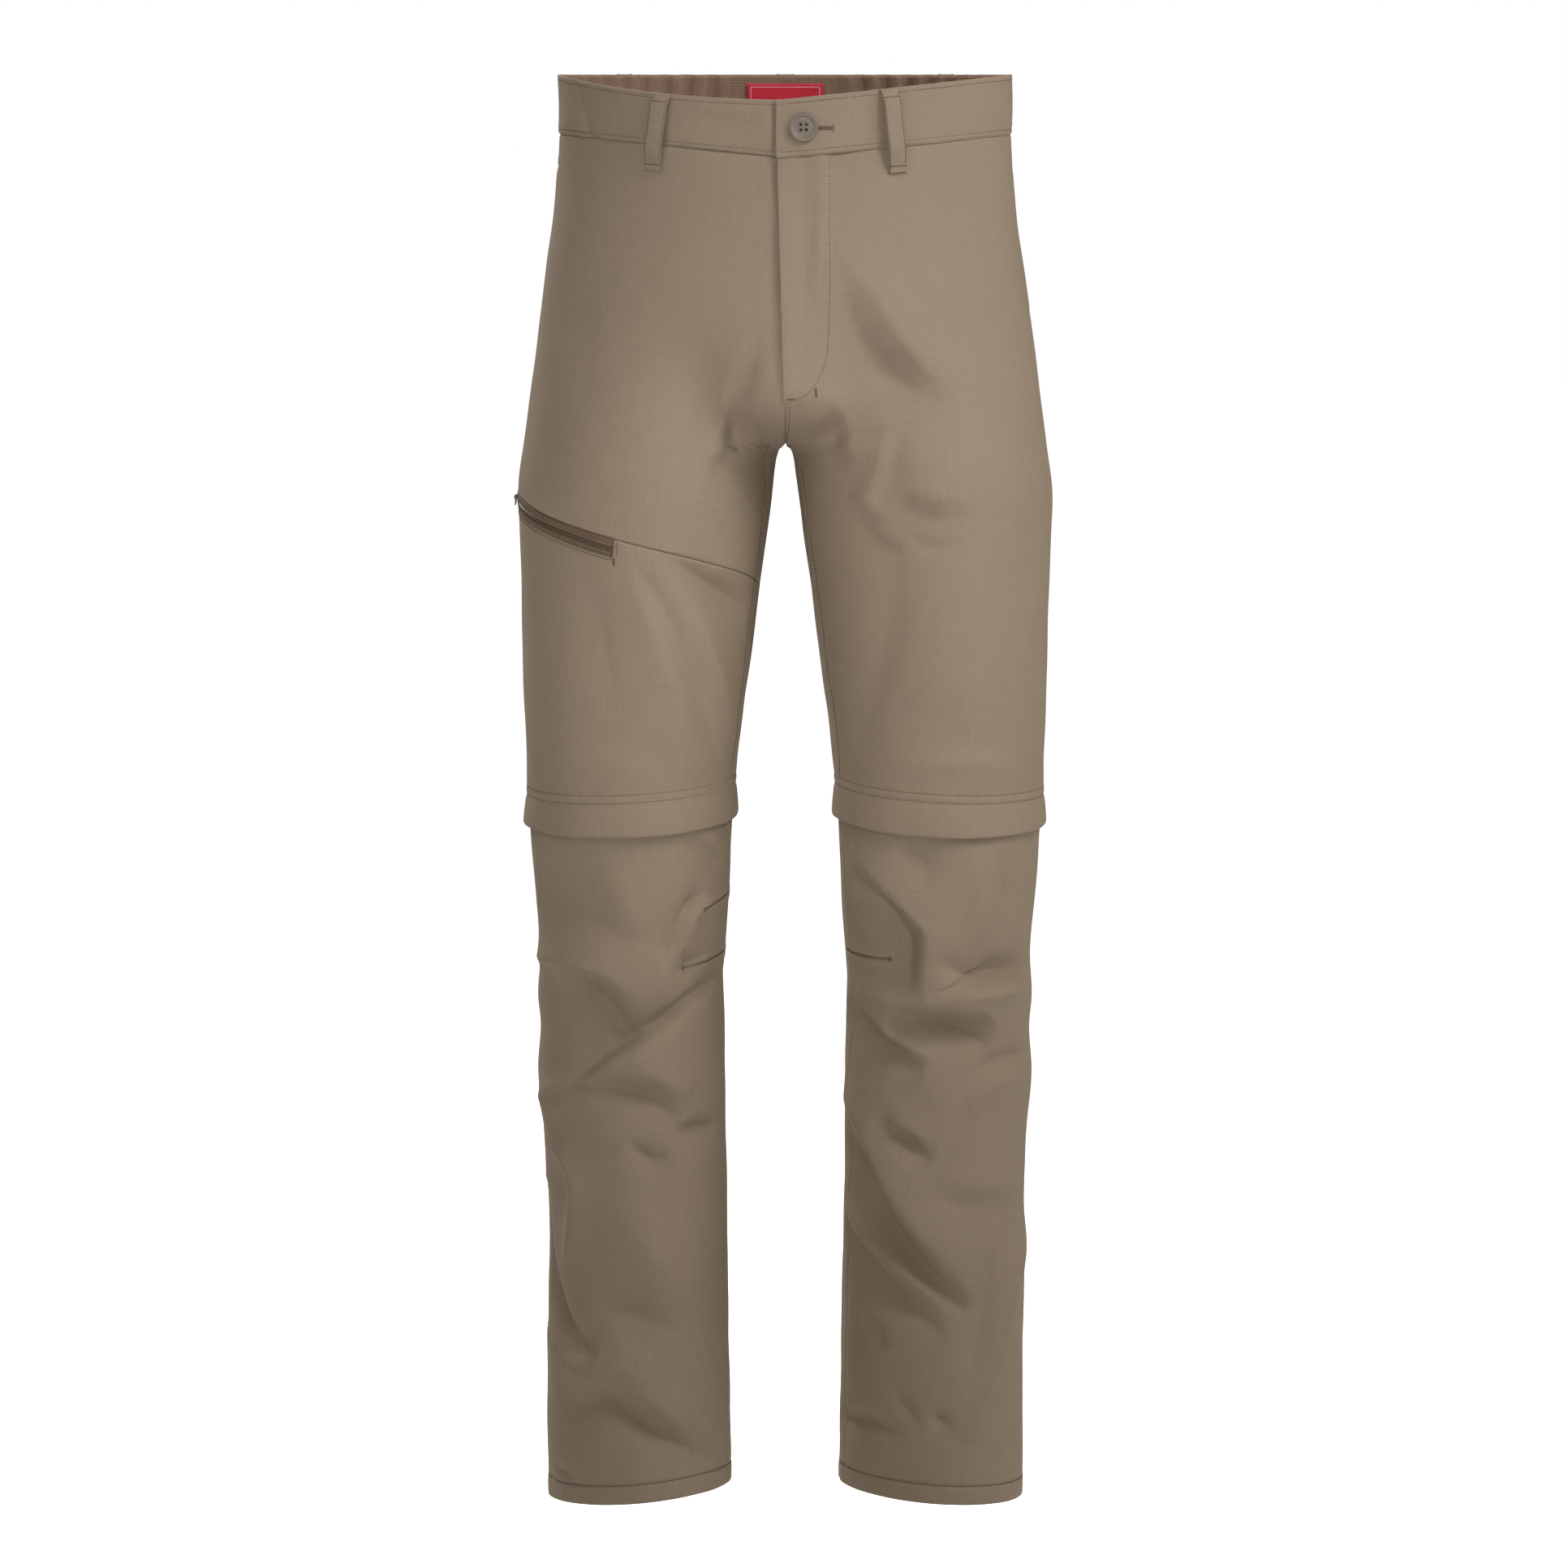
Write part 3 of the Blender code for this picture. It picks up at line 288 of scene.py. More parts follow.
    (1, -3.0, 16, 16, ((208, 350), (200, 410), (204, 470))),
    (-1, -2.0, 8, 12, ((118, 150), (140, 178), (170, 196))),
    (1, -2.0, 8, 12, ((120, 158), (146, 184), (176, 200))),
    (-1, -8.0, 9, 22, ((108, 606), (150, 630), (200, 636), (250, 620))),
    (-1, 7.0, 18, 10, ((104, 588), (148, 612), (196, 618), (246, 604))),
    (-1, -7.5, 9, 20, ((112, 700), (160, 716), (205, 742), (252, 772))),
    (-1, 6.5, 18, 9, ((104, 676), (156, 696), (200, 722), (248, 750))),
    (-1, -6.0, 10, 16, ((236, 668), (204, 672), (168, 664), (136, 650))),
    (-1, -7.0, 9, 18, ((112, 846), (160, 888), (205, 930), (242, 990))),
    (-1, 6.0, 20, 10, ((104, 826), (154, 866), (198, 908), (236, 962))),
    (-1, -4.0, 8, 12, ((240, 812), (206, 822), (172, 812))),
    (-1, -3.5, 8, 12, ((124, 976), (156, 994), (186, 1016))),
    (1, -8.0, 9, 22, ((106, 592), (150, 618), (196, 640), (250, 660))),
    (1, 7.0, 18, 10, ((102, 576), (144, 600), (190, 620), (244, 642))),
    (1, -7.5, 9, 20, ((108, 764), (160, 742), (205, 716), (250, 700))),
    (1, 6.5, 18, 9, ((106, 746), (154, 724), (200, 698), (246, 684))),
    (1, -5.5, 10, 16, ((230, 760), (200, 774), (164, 780), (130, 800))),
    (1, -7.0, 9, 18, ((240, 846), (200, 880), (165, 925), (118, 990))),
    (1, 6.0, 20, 10, ((236, 824), (196, 858), (158, 904), (112, 964))),
    (1, -4.0, 8, 12, ((232, 926), (204, 948), (180, 980))),
    (1, -3.5, 8, 12, ((140, 860), (170, 842), (204, 838))),
)

# Colours as sRGB 0 to 1
TAUPE = (0.516, 0.456, 0.386)
# Thread colour, darker than the cloth: the stitches are real, and their extra darkness is painted shade for
# the needle holes and the shadows beside each stitch.
THREAD_TAUPE_WITH_STITCH_SHADE = (0.365, 0.312, 0.252)
LIGHT_THREAD = (0.600, 0.530, 0.450)
DARK_BROWN = (0.375, 0.305, 0.245)
COIL_BROWN = (0.290, 0.215, 0.150)
FACING_BROWN = (0.535, 0.440, 0.375)
BUTTON_GREY = (0.415, 0.372, 0.325)
LABEL_RED = (0.800, 0.190, 0.260)
LABEL_PALE = (0.900, 0.720, 0.720)
METAL_BROWN = (0.33, 0.28, 0.24)


def smooth(t):
    """Eased step from 0 to 1."""
    t = np.clip(t, 0.0, 1.0)
    return t * t * (3.0 - 2.0 * t)


def along(table, column, down):
    """Smooth value of one column of a table at each drop."""
    rows = np.array(table, dtype=float)
    levels, values = rows[:, 0], rows[:, column]
    slopes = np.gradient(values, levels)
    at = np.clip(np.searchsorted(levels, down) - 1, 0, len(levels) - 2)
    step = levels[at + 1] - levels[at]
    t = np.clip((down - levels[at]) / step, 0.0, 1.0)
    rise = values[at + 1] - values[at]
    a = slopes[at] * step - rise
    b = rise - slopes[at + 1] * step
    return values[at] + t * rise + t * (1.0 - t) * ((1.0 - t) * a + t * b)


def turn_of(around):
    """Turn in degrees at an around."""
    return 180.0 * around - 90.0


def round_of(turn):
    """Around at a turn in degrees."""
    return (turn + 90.0) / 180.0


def waist_angle_sine(around):
    """0 at the centre front, 1 from the side backwards."""
    return np.sin(np.pi / 2 * np.where(around <= 1.0, around, 1.0))


def around_at(across, half_width):
    """Around of points that lie so far across from the centre."""
    return 2.0 / np.pi * np.arcsin(across / half_width)


def from_inseam(around):
    """Distance along the cloth from the inseam or the centre seam."""
    return np.minimum(around, 2.0 - around) * ROUND_MM


def band_top(side, around):
    """Drop of the waistband's top edge."""
    sine = waist_angle_sine(around)
    if side > 0:
        return FRONT_TOP_DIP * (1.0 - sine)
    return FRONT_TOP_DIP * np.clip(1.0 - sine * sine, 0.0, 1.0) ** 0.85


def band_seam(around):
    """Drop of the seam below the waistband."""
    return BAND_HEIGHT + FRONT_SEAM_DIP * (1.0 - waist_angle_sine(around))


def knee_stitch(around):
    """Drop of the line where thigh and knee flap are sewn."""
    turn = np.radians(turn_of(around))
    return KNEE_STITCH + 4.0 * np.sin(turn) + 4.0 * np.clip(np.cos(turn), 0.0, 1.0)


def flap_edge(around):
    """Drop of the knee flap's lower edge."""
    turn = np.radians(turn_of(around))
    return KNEE_STITCH + 21.0 + 3.0 * np.sin(turn) + 7.0 * np.clip(np.cos(turn), 0.0, 1.0)


def hem_edge(around):
    """Drop of the hem, lower at the outer side."""
    return HEM + HEM_SLANT * np.sin(np.radians(turn_of(around)))


def pocket_seam(around):
    """Drop of the slanted seam above the pocket, straight in turn."""
    return POCKET_DOWN + POCKET_SLOPE * turn_of(around)


def hip_share(is_front, way, down):
    """Share of the body's section against the leg's: quick beside the crotch seam, gentle beyond."""
    rise = np.where(is_front, FRONT_RISE_CURVE, BACK_RISE_CURVE)
    climb = np.clip((CROTCH - down) / rise, 0.0, 1.0)
    at_seam = np.sqrt(1.0 - (1.0 - climb) ** 2)
    height = np.where(is_front, FRONT_BLEND, BACK_BLEND)
    beyond = smooth((CROTCH + BLEND_BELOW_CROTCH - down) / height)
    return at_seam + (beyond - at_seam) * smooth(way / 0.36)


def form(around, down, lower):
    """Point of the smooth outer form of the +X half, without its creases."""
    sections = SHIN_SECTIONS if lower else THIGH_SECTIONS
    inseam = SHIN_INSEAM if lower else THIGH_INSEAM
    out = along(sections, 1, down)
    side = along(sections, 2, down)
    front = along(sections, 3, down)
    back = along(sections, 4, down)
    inner = np.interp(down, [row[0] for row in inseam], [row[1] for row in inseam])
    is_front = around <= 1.0
    way = np.where(is_front, around, 2.0 - around)
    depth = np.where(is_front, side - front, back - side)
    hip = hip_share(is_front, way, down)
    leg_angle = np.pi * (way - 0.5)
    hip_angle = np.pi / 2 * way
    leg_x = (out + inner) / 2 + (out - inner) / 2 * np.sin(leg_angle)
    hip_x = inner + (out - inner) * np.sin(hip_angle)
    x = (1.0 - hip) * leg_x + hip * hip_x
    reach = depth * ((1.0 - hip) * np.cos(leg_angle) + hip * np.cos(hip_angle))
    y = side + np.where(is_front, -reach, reach)
    return np.stack([x, y, WAIST_TOP - down], axis=-1)


def unit(vectors):
    """Vectors of length 1."""
    length = np.linalg.norm(vectors, axis=-1, keepdims=True)
    return vectors / np.maximum(length, 1e-9)


def outward(around, down, lower):
    """Unit normal of the smooth form."""
    step_round, step_down = 0.004, 0.8
    fall = form(around, down + step_down, lower) - form(around, down - step_down, lower)
    run = form(around + step_round, down, lower) - form(around - step_round, down, lower)
    return unit(np.cross(fall, run))


def eased_path(path):
    """Points of a crease's path with its corners rounded."""
    rough = np.array(path, float)
    ends = np.vstack([2 * rough[0] - rough[1], rough, 2 * rough[-1] - rough[-2]])
    pieces = []
    for a, b, c, d in zip(ends, ends[1:], ends[2:], ends[3:]):
        for t in (0.0, 0.25, 0.5, 0.75):
            pieces.append(0.5 * (2 * b + (c - a) * t + (2 * a - 5 * b + 4 * c - d) * t * t
                                 + (3 * b - a - 3 * c + d) * t ** 3))
    pieces.append(rough[-1])
    return np.array(pieces)


def crease_height(side, around, down):
    """Sum of one half's creases: each a ridge or trough with a width of its own on either hand."""
    shape = np.broadcast(around, down).shape
    turn = np.broadcast_to(turn_of(around), shape).ravel()
    drop = np.broadcast_to(down, shape).ravel()
    out = along(THIGH_SECTIONS, 1, np.minimum(drop, 540))
    radius = 0.5 * (out - np.clip((drop - CROTCH) * 0.16, 0, 40))
    height = np.zeros(len(drop))
    for crease_side, tall, left, right, path in CREASES:
        if crease_side != side:
            continue
        route = eased_path(path)
        reach = 3.2 * max(left, right)
        for wrap in (0.0, -360.0):
            arc = radius * np.radians(turn + wrap)
            low, high = np.radians(route[:, 0].min()), np.radians(route[:, 0].max())
            near = (drop > route[:, 1].min() - reach) & (drop < route[:, 1].max() + reach)
            near &= (arc > radius * low - reach) & (arc < radius * high + reach)
            if near.any():
                height[near] += one_crease(arc[near], drop[near], radius[near], tall, left, right, route)
    return height.reshape(shape)


def one_crease(arc, drop, radius, tall, left, right, route):
    """Height of one crease, tapered at its ends."""
    nearest = np.full(arc.shape, 1e9)
    signed = np.zeros(arc.shape)
    place = np.zeros(arc.shape)
    start = 0.0
    for a, b in zip(route, route[1:]):
        ax, bx = radius * math.radians(a[0]), radius * math.radians(b[0])
        dx, dy = bx - ax, b[1] - a[1]
        square = dx * dx + dy * dy + 1e-9
        t = np.clip(((arc - ax) * dx + (drop - a[1]) * dy) / square, 0.0, 1.0)
        away_x, away_y = arc - ax - t * dx, drop - a[1] - t * dy
        reach = np.hypot(away_x, away_y)
        hand = away_y * dx - away_x * dy
        length = math.hypot(math.radians(b[0] - a[0]) * 80.0, b[1] - a[1])
        closer = reach < nearest
        signed = np.where(closer, np.where(hand < 0.0, -reach, reach), signed)
        place = np.where(closer, start + t * length, place)
        nearest = np.minimum(nearest, reach)
        start += length
    width = np.where(signed < 0.0, left, right)
    taper = np.sin(np.pi * np.clip(place / start, 0.0, 1.0)) ** 0.75
    return tall * taper * np.exp(-(np.abs(signed / width) ** 1.3))


def unevenness(side, around, down):
    """Slight slow waves that keep the cloth from looking machined."""
    arc = 85.0 * np.radians(turn_of(around)) * side
    slow = np.sin(0.023 * arc + 0.031 * down + 1.3) * np.sin(0.014 * down - 0.027 * arc + 0.4)
    quick = np.sin(0.11 * arc + 0.045 * down + 2.0) * np.sin(0.07 * down - 0.05 * arc + 1.1)
    return 0.7 * slow + 0.22 * quick


def fly_valley(side, around, down):
    """The right front turns in under the edge of the fly."""
    if side > 0:
        return 0.0
    across = BAND_MM * around
    beside = np.where(around <= 1.0, 1.0 - smooth((across - 1.0) / 17.0), 0.0)
    return -2.4 * beside * (1.0 - smooth((down - 205.0) / 50.0))


def crotch_fill(around, down):
    """The cloth spans the hollow between the thighs below the fly."""
    height = smooth((down - 215.0) / 30.0) * smooth((CROTCH - 8.0 - down) / 22.0)
    return 5.0 * np.exp(-((from_inseam(around) / 60.0) ** 2)) * height


def relief(side, around, down, lower):
    """Height of the cloth's face over the smooth form."""
    if lower:
        calm = smooth((down - 546.0) / 14.0)
    else:
        calm = 1.0 - smooth((down - 494.0) / 28.0)
        calm = calm * smooth((down - band_seam(around)) / 30.0)
    turn = turn_of(around)
    near_side = np.exp(-(((turn - 92.0) / 17.0) ** 2))
    near_side = near_side + np.exp(-((np.abs(turn - 90.0) - 180.0) / 17.0) ** 2)
    creases = crease_height(side, around, down) * (1.0 - 0.5 * near_side)
    rough = (creases + unevenness(side, around, down)) * calm
    if not lower:
        rough = rough + fly_valley(side, around, down) + crotch_fill(around, down)
    return rough


def place(side, around, down, lift=0.0, lower=False, creased=True):
    """Points of the garment, mirrored to their side."""
    around, down, lift = np.broadcast_arrays(np.asarray(around, float), np.asarray(down, float),
                                             np.asarray(lift, float))
    height = lift + (relief(side, around, down, lower) if creased else 0.0)
    points = form(around, down, lower) + outward(around, down, lower) * height[..., None]
    centre_seam = ((around == 0.0) | (around == 2.0)) & (down < CROTCH)
    points[..., 0] = np.where(centre_seam, 0.0, points[..., 0])
    return points * np.array([side, 1.0, 1.0])


def facing_out(side, around, down, lower=False):
    """Outward normals, mirrored to their side."""
    around, down = np.broadcast_arrays(np.asarray(around, float), np.asarray(down, float))
    return outward(around, down, lower) * np.array([side, 1.0, 1.0])


def stops(start, end, step, near_start=(), near_end=()):
    """Even stops from start to end, with extra ones near either end for a turned edge."""
    count = max(2, int(round(abs(end - start) / step)) + 1)
    row = list(np.linspace(start, end, count))
    way = 1.0 if end > start else -1.0
    extra = [start + way * e for e in near_start] + [end - way * e for e in near_end]
    keep = [v for v in row if all(abs(v - e) > 0.45 * step for e in extra) or v in (start, end)]
    return np.array(sorted(set(keep + extra), reverse=way < 0))


def add_object(name, data):
    """New object in the scene."""
    thing = bpy.data.objects.new(name, data)
    bpy.context.scene.collection.objects.link(thing)
    return thing


def cloth_object(name, points, flat_u, flat_v, mirrored, thickness=CLOTH):
    """Sheet from a grid of points, with its lengths as a UV map, thickened inwards."""
    rows, columns = points.shape[:2]
    index = np.arange(rows * columns).reshape(rows, columns)
    corners = [index[:-1, :-1], index[1:, :-1], index[1:, 1:], index[:-1, 1:]]
    quads = np.stack(corners, axis=-1).reshape(-1, 4)
    if mirrored:
        quads = quads[:, ::-1]
    mesh = bpy.data.meshes.new(name)
    mesh.from_pydata((points.reshape(-1, 3) * MM).tolist(), [], quads.tolist())
    mesh.update()
    uv = np.stack(np.broadcast_arrays(flat_u, flat_v), axis=-1).reshape(-1, 2) * MM
    loop_points = np.zeros(len(mesh.loops), dtype=np.int32)
    mesh.loops.foreach_get("vertex_index", loop_points)
    layer = mesh.uv_layers.new(name="UVMap")
    layer.data.foreach_set("uv", uv[loop_points].ravel())
    mesh.shade_smooth()
    thing = add_object(name, mesh)
    if thickness:
        wall = thing.modifiers.new("wall", "SOLIDIFY")
        wall.thickness = thickness * MM
        wall.offset = -1.0
        apply_modifiers(thing)
    return thing


def apply_modifiers(thing):
    """Applies a piece's modifiers in their order."""
    bpy.ops.object.select_all(action="DESELECT")
    thing.select_set(True)
    bpy.context.view_layer.objects.active = thing
    for modifier in list(thing.modifiers):
        bpy.ops.object.modifier_apply(modifier=modifier.name)


def dress(thing, material, nodes=()):
    """Gives a piece its material and its body, and hides the solids it stands for."""
    thing.data.materials.clear()
    thing.data.materials.append(material)
    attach(thing, "trousers")
    if nodes:
        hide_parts(*nodes)


def linear(colour):
    """Linear colour from sRGB."""
    return tuple(c / 12.92 if c <= 0.04045 else ((c + 0.055) / 1.055) ** 2.4 for c in colour)


def new_node(tree, kind, values=None, **settings):
    """Node with its settings and its unlinked input values."""
    made = tree.nodes.new(kind)
    for key, value in settings.items():
        setattr(made, key, value)
    for key, value in (values or {}).items():
        made.inputs[key].default_value = value
    return made


def math_node(tree, operation, first, second):
    """Result of one sum over two sockets or numbers."""
    made = new_node(tree, "ShaderNodeMath", operation=operation)
    for socket, value in zip(made.inputs, (first, second)):
        if isinstance(value, (int, float)):
            socket.default_value = value
        else:
            tree.links.new(value, socket)
    return made.outputs[0]


def new_group(name, inputs, outputs):
    """Empty shader group with its sockets, its input and its output."""
    group = bpy.data.node_groups.new(name, "ShaderNodeTree")
    for label, kind, value in inputs:
        socket = group.interface.new_socket(label, in_out="INPUT", socket_type=kind)
        if value is not None:
            socket.default_value = value
    for label, kind in outputs:
        group.interface.new_socket(label, in_out="OUTPUT", socket_type=kind)
    start = group.nodes.new("NodeGroupInput")
    end = group.nodes.new("NodeGroupOutput")
    return group, start, end


def weave_group():
    """Plain weave: raised warp and weft, and the uneven streaks of their threads."""
    group, start, end = new_group("plain weave", (
        ("Vector", "NodeSocketVector", None),
        ("Threads", "NodeSocketFloat", 350.0),
    ), (("Height", "NodeSocketFloat"), ("Streaks", "NodeSocketFloat")))
    links = group.links
    bands = []
    for direction in ("X", "Y"):
        wave = new_node(group, "ShaderNodeTexWave", {"Distortion": 1.2, "Detail": 1.0, "Detail Scale": 1.5},
                        bands_direction=direction)
        links.new(start.outputs["Vector"], wave.inputs["Vector"])
        links.new(start.outputs["Threads"], wave.inputs["Scale"])
        bands.append(wave.outputs["Fac"])
    links.new(math_node(group, "MAXIMUM", bands[0], bands[1]), end.inputs["Height"])
    streaks = []
    for stretch in ((900.0, 45.0, 1.0), (60.0, 1100.0, 1.0)):
        scaled = new_node(group, "ShaderNodeMapping", {"Scale": stretch})
        links.new(start.outputs["Vector"], scaled.inputs["Vector"])
        noise = new_node(group, "ShaderNodeTexNoise", {"Scale": 1.0, "Detail": 2.0, "Roughness": 0.6})
        links.new(scaled.outputs["Vector"], noise.inputs["Vector"])
        streaks.append(noise.outputs["Fac"])
    both = math_node(group, "ADD", streaks[0], streaks[1])
    links.new(math_node(group, "MULTIPLY", both, 0.5), end.inputs["Streaks"])
    return group


def rumple_group():
    """Small soft rumples of handled cloth, and slow changes of shade across it."""
    group, start, end = new_group("cloth rumples", (
        ("Vector", "NodeSocketVector", None),
        ("Size", "NodeSocketFloat", 70.0),
    ), (("Height", "NodeSocketFloat"), ("Shade", "NodeSocketFloat")))
    links = group.links
    fine = new_node(group, "ShaderNodeTexNoise", {"Detail": 3.0, "Roughness": 0.55, "Distortion": 0.6})
    links.new(start.outputs["Vector"], fine.inputs["Vector"])
    links.new(start.outputs["Size"], fine.inputs["Scale"])
    links.new(fine.outputs["Fac"], end.inputs["Height"])
    slow = new_node(group, "ShaderNodeTexNoise", {"Scale": 9.0, "Detail": 3.0, "Roughness": 0.6})
    links.new(start.outputs["Vector"], slow.inputs["Vector"])
    links.new(slow.outputs["Fac"], end.inputs["Shade"])
    return group


def new_material(name):
    """Material with nodes, its tree and its shader."""
    material = bpy.data.materials.new(name)
    material.use_nodes = True
    return material, material.node_tree, material.node_tree.nodes["Principled BSDF"]


def two_tones(tree, shader, colour, factor, dark, light):
    """Base colour between a darker and a lighter tone of one colour."""
    mix = new_node(tree, "ShaderNodeMix", data_type="RGBA")
    mix.inputs["A"].default_value = (*linear(tuple(c * dark for c in colour)), 1.0)
    mix.inputs["B"].default_value = (*linear(tuple(min(1.0, c * light) for c in colour)), 1.0)
    tree.links.new(factor, mix.inputs["Factor"])
    tree.links.new(mix.outputs["Result"], shader.inputs["Base Color"])


def cloth_material(name, colour, weave, rumples, threads=350.0, weave_depth=0.05, rumple_depth=0.5,
                   roughness=0.78, sheen=0.12, contrast=0.14, use_uv=True):
    """Woven cloth: threads, streaks, rumples and a soft sheen."""
    material, tree, shader = new_material(name)
    links = tree.links
    shader.inputs["Sheen Weight"].default_value = sheen
    shader.inputs["Sheen Roughness"].default_value = 0.45
    shader.inputs["Sheen Tint"].default_value = (*linear(tuple(min(1.0, c * 1.3) for c in colour)), 1.0)
    shader.inputs["Specular IOR Level"].default_value = 0.25
    source = new_node(tree, "ShaderNodeTexCoord")
    flat = source.outputs["UV" if use_uv else "Object"]
    threads_node = new_node(tree, "ShaderNodeGroup", node_tree=weave)
    threads_node.inputs["Threads"].default_value = threads
    links.new(flat, threads_node.inputs["Vector"])
    rumple = new_node(tree, "ShaderNodeGroup", node_tree=rumples)
    links.new(source.outputs["Object"], rumple.inputs["Vector"])
    streak = math_node(tree, "SUBTRACT", threads_node.outputs["Streaks"], 0.5)
    shade = math_node(tree, "SUBTRACT", rumple.outputs["Shade"], 0.5)
    grain = math_node(tree, "SUBTRACT", threads_node.outputs["Height"], 0.7)
    tone = math_node(tree, "ADD", math_node(tree, "MULTIPLY", streak, 5.0 * contrast),
                     math_node(tree, "MULTIPLY", shade, 1.4 * contrast))
    tone = math_node(tree, "ADD", tone, math_node(tree, "MULTIPLY", grain, contrast))
    level = math_node(tree, "ADD", tone, 0.5)
    two_tones(tree, shader, colour, level, 0.86, 1.13)
    rough = math_node(tree, "ADD", math_node(tree, "MULTIPLY", shade, 0.2), roughness)
    links.new(rough, shader.inputs["Roughness"])
    low = new_node(tree, "ShaderNodeBump", {"Strength": 1.0, "Distance": rumple_depth * MM})
    links.new(rumple.outputs["Height"], low.inputs["Height"])
    fine = new_node(tree, "ShaderNodeBump", {"Strength": 1.0, "Distance": weave_depth * MM})
    links.new(threads_node.outputs["Height"], fine.inputs["Height"])
    links.new(low.outputs["Normal"], fine.inputs["Normal"])
    links.new(fine.outputs["Normal"], shader.inputs["Normal"])
    return material


def hard_material(name, colour, roughness, metallic=0.0, grain=400.0, depth=0.02, mottle=0.12):
    """Moulded or painted surface with slight mottling, scuffs and an uneven gloss."""
    material, tree, shader = new_material(name)
    links = tree.links
    shader.inputs["Metallic"].default_value = metallic
    source = new_node(tree, "ShaderNodeTexCoord")
    noise = new_node(tree, "ShaderNodeTexNoise", {"Scale": grain, "Detail": 4.0, "Roughness": 0.6})
    links.new(source.outputs["Object"], noise.inputs["Vector"])
    two_tones(tree, shader, colour, noise.outputs["Fac"], 1 - mottle, 1 + mottle)
    spread = math_node(tree, "MULTIPLY", math_node(tree, "SUBTRACT", noise.outputs["Fac"], 0.5), 0.25)
    links.new(math_node(tree, "ADD", spread, roughness), shader.inputs["Roughness"])
    bump = new_node(tree, "ShaderNodeBump", {"Strength": 1.0, "Distance": depth * MM})
    links.new(noise.outputs["Fac"], bump.inputs["Height"])
    links.new(bump.outputs["Normal"], shader.inputs["Normal"])
    return material


def stitches_along(points, normals, pitch=2.9):
    """Centres, directions and normals of the stitches along a line of points."""
    steps = np.linalg.norm(np.diff(points, axis=0), axis=1)
    travel = np.concatenate([[0.0], np.cumsum(steps)])
    count = max(1, int(travel[-1] / pitch))
    at = (np.arange(count) + 0.5) * travel[-1] / count

    def sample(values, where):
        return np.stack([np.interp(where, travel, values[:, k]) for k in range(3)], axis=1)

    run = sample(points, at + 0.6) - sample(points, at - 0.6)
    return sample(points, at), unit(run), unit(sample(normals, at))


def sewn(side, around, down, lift=0.0, lower=False, creased=True, pitch=2.9):
    """Stitches of one line sewn on the garment."""
    points = place(side, around, down, lift, lower, creased)
    return stitches_along(points, facing_out(side, around, down, lower), pitch)


def line(corners, step=1.0):
    """Close points along a broken line of (around, down)."""
    corners = np.array(corners, float)
    lengths = np.hypot(np.diff(corners[:, 0]) * ROUND_MM, np.diff(corners[:, 1]))
    travel = np.concatenate([[0.0], np.cumsum(lengths)])
    at = np.linspace(0.0, travel[-1], max(3, int(travel[-1] / step)))
    return np.interp(at, travel, corners[:, 0]), np.interp(at, travel, corners[:, 1])


def bartack(side, around, down, tall, lift, lower=False, creased=True, level=False):
    """Dense bar of zigzag thread: upright, or level where asked."""
    count = int(tall / 0.55)
    along_bar = np.linspace(-tall / 2, tall / 2, count)
    points, normals = [], []
    for offset in along_bar:
        for edge in (-0.9, 0.9):
            a = around + (offset if level else edge) / ROUND_MM
            d = down + (edge if level else offset)
            points.append(place(side, a, d, lift, lower, creased))
            normals.append(facing_out(side, a, d, lower))
    points, normals = np.array(points), np.array(normals)
    middle = 0.5 * (points[0::2] + points[1::2])
    return middle, unit(points[1::2] - points[0::2]), unit(normals[0::2])


def thread_object(name, rows, length=2.0, width=0.8, tall=0.5):
    """All the stitches of a group of sewn lines as one mesh of small rounded threads."""
    centre = np.concatenate([row[0] for row in rows])
    run = np.concatenate([row[1] for row in rows])
    out = np.concatenate([row[2] for row in rows])
    cross = unit(np.cross(out, run))
    sides = 5
    stations = ((-0.5, 0.3), (0.0, 1.0), (0.5, 0.3))
    shape = []
    for where, size in stations:
        for k in range(sides):
            angle = 2 * math.pi * k / sides + math.pi / 2
            across, up = 0.5 * width * size * math.cos(angle), tall * size * math.sin(angle)
            shape.append((where * length, across, up))
    shape = np.array(shape)
    points = (centre[:, None, :] + run[:, None, :] * shape[None, :, 0, None]
              + cross[:, None, :] * shape[None, :, 1, None] + out[:, None, :] * shape[None, :, 2, None])
    each = len(shape)
    faces = []
    for s in range(len(stations) - 1):
        for k in range(sides):
            n = (k + 1) % sides
            a, b = s * sides + k, s * sides + n
            faces.append((a, b, b + sides, a + sides))
    caps = [tuple(reversed(range(sides))), tuple(range(each - sides, each))]
    offset = np.arange(len(centre)) * each
    quads = (np.array(faces)[None] + offset[:, None, None]).reshape(-1, 4).tolist()
    ends = (np.array(caps)[None] + offset[:, None, None]).reshape(-1, sides).tolist()
    mesh = bpy.data.meshes.new(name)
    mesh.from_pydata((points.reshape(-1, 3) * MM).tolist(), [], quads + ends)
    mesh.update()
    mesh.shade_smooth()
    thing = add_object(name, mesh)
    return thing


def across_front(step=2.6):
    """Columns of a front panel, from the inseam to the side seam."""
    return stops(0.0, SIDE_SEAM * ROUND_MM, step, TURN_IN + INSEAM_GROOVE, TURN_IN) / ROUND_MM


def across_back(step=2.4):
    """Columns of a back panel, from the side seam to the inseam."""
    return stops(SIDE_SEAM * ROUND_MM, 2.0 * ROUND_MM, step, TURN_IN, TURN_IN) / ROUND_MM


def seam_dip(distance, depth=0.9, width=2.6):
    """Cloth rolls down into a seam."""
    return -depth * (1.0 - smooth(np.abs(distance) / width))


def groove(distance, depth=0.55, width=1.0):
    """Stitching pulls a fine line down into the cloth."""
    return -depth * np.exp(-((distance / width) ** 2))


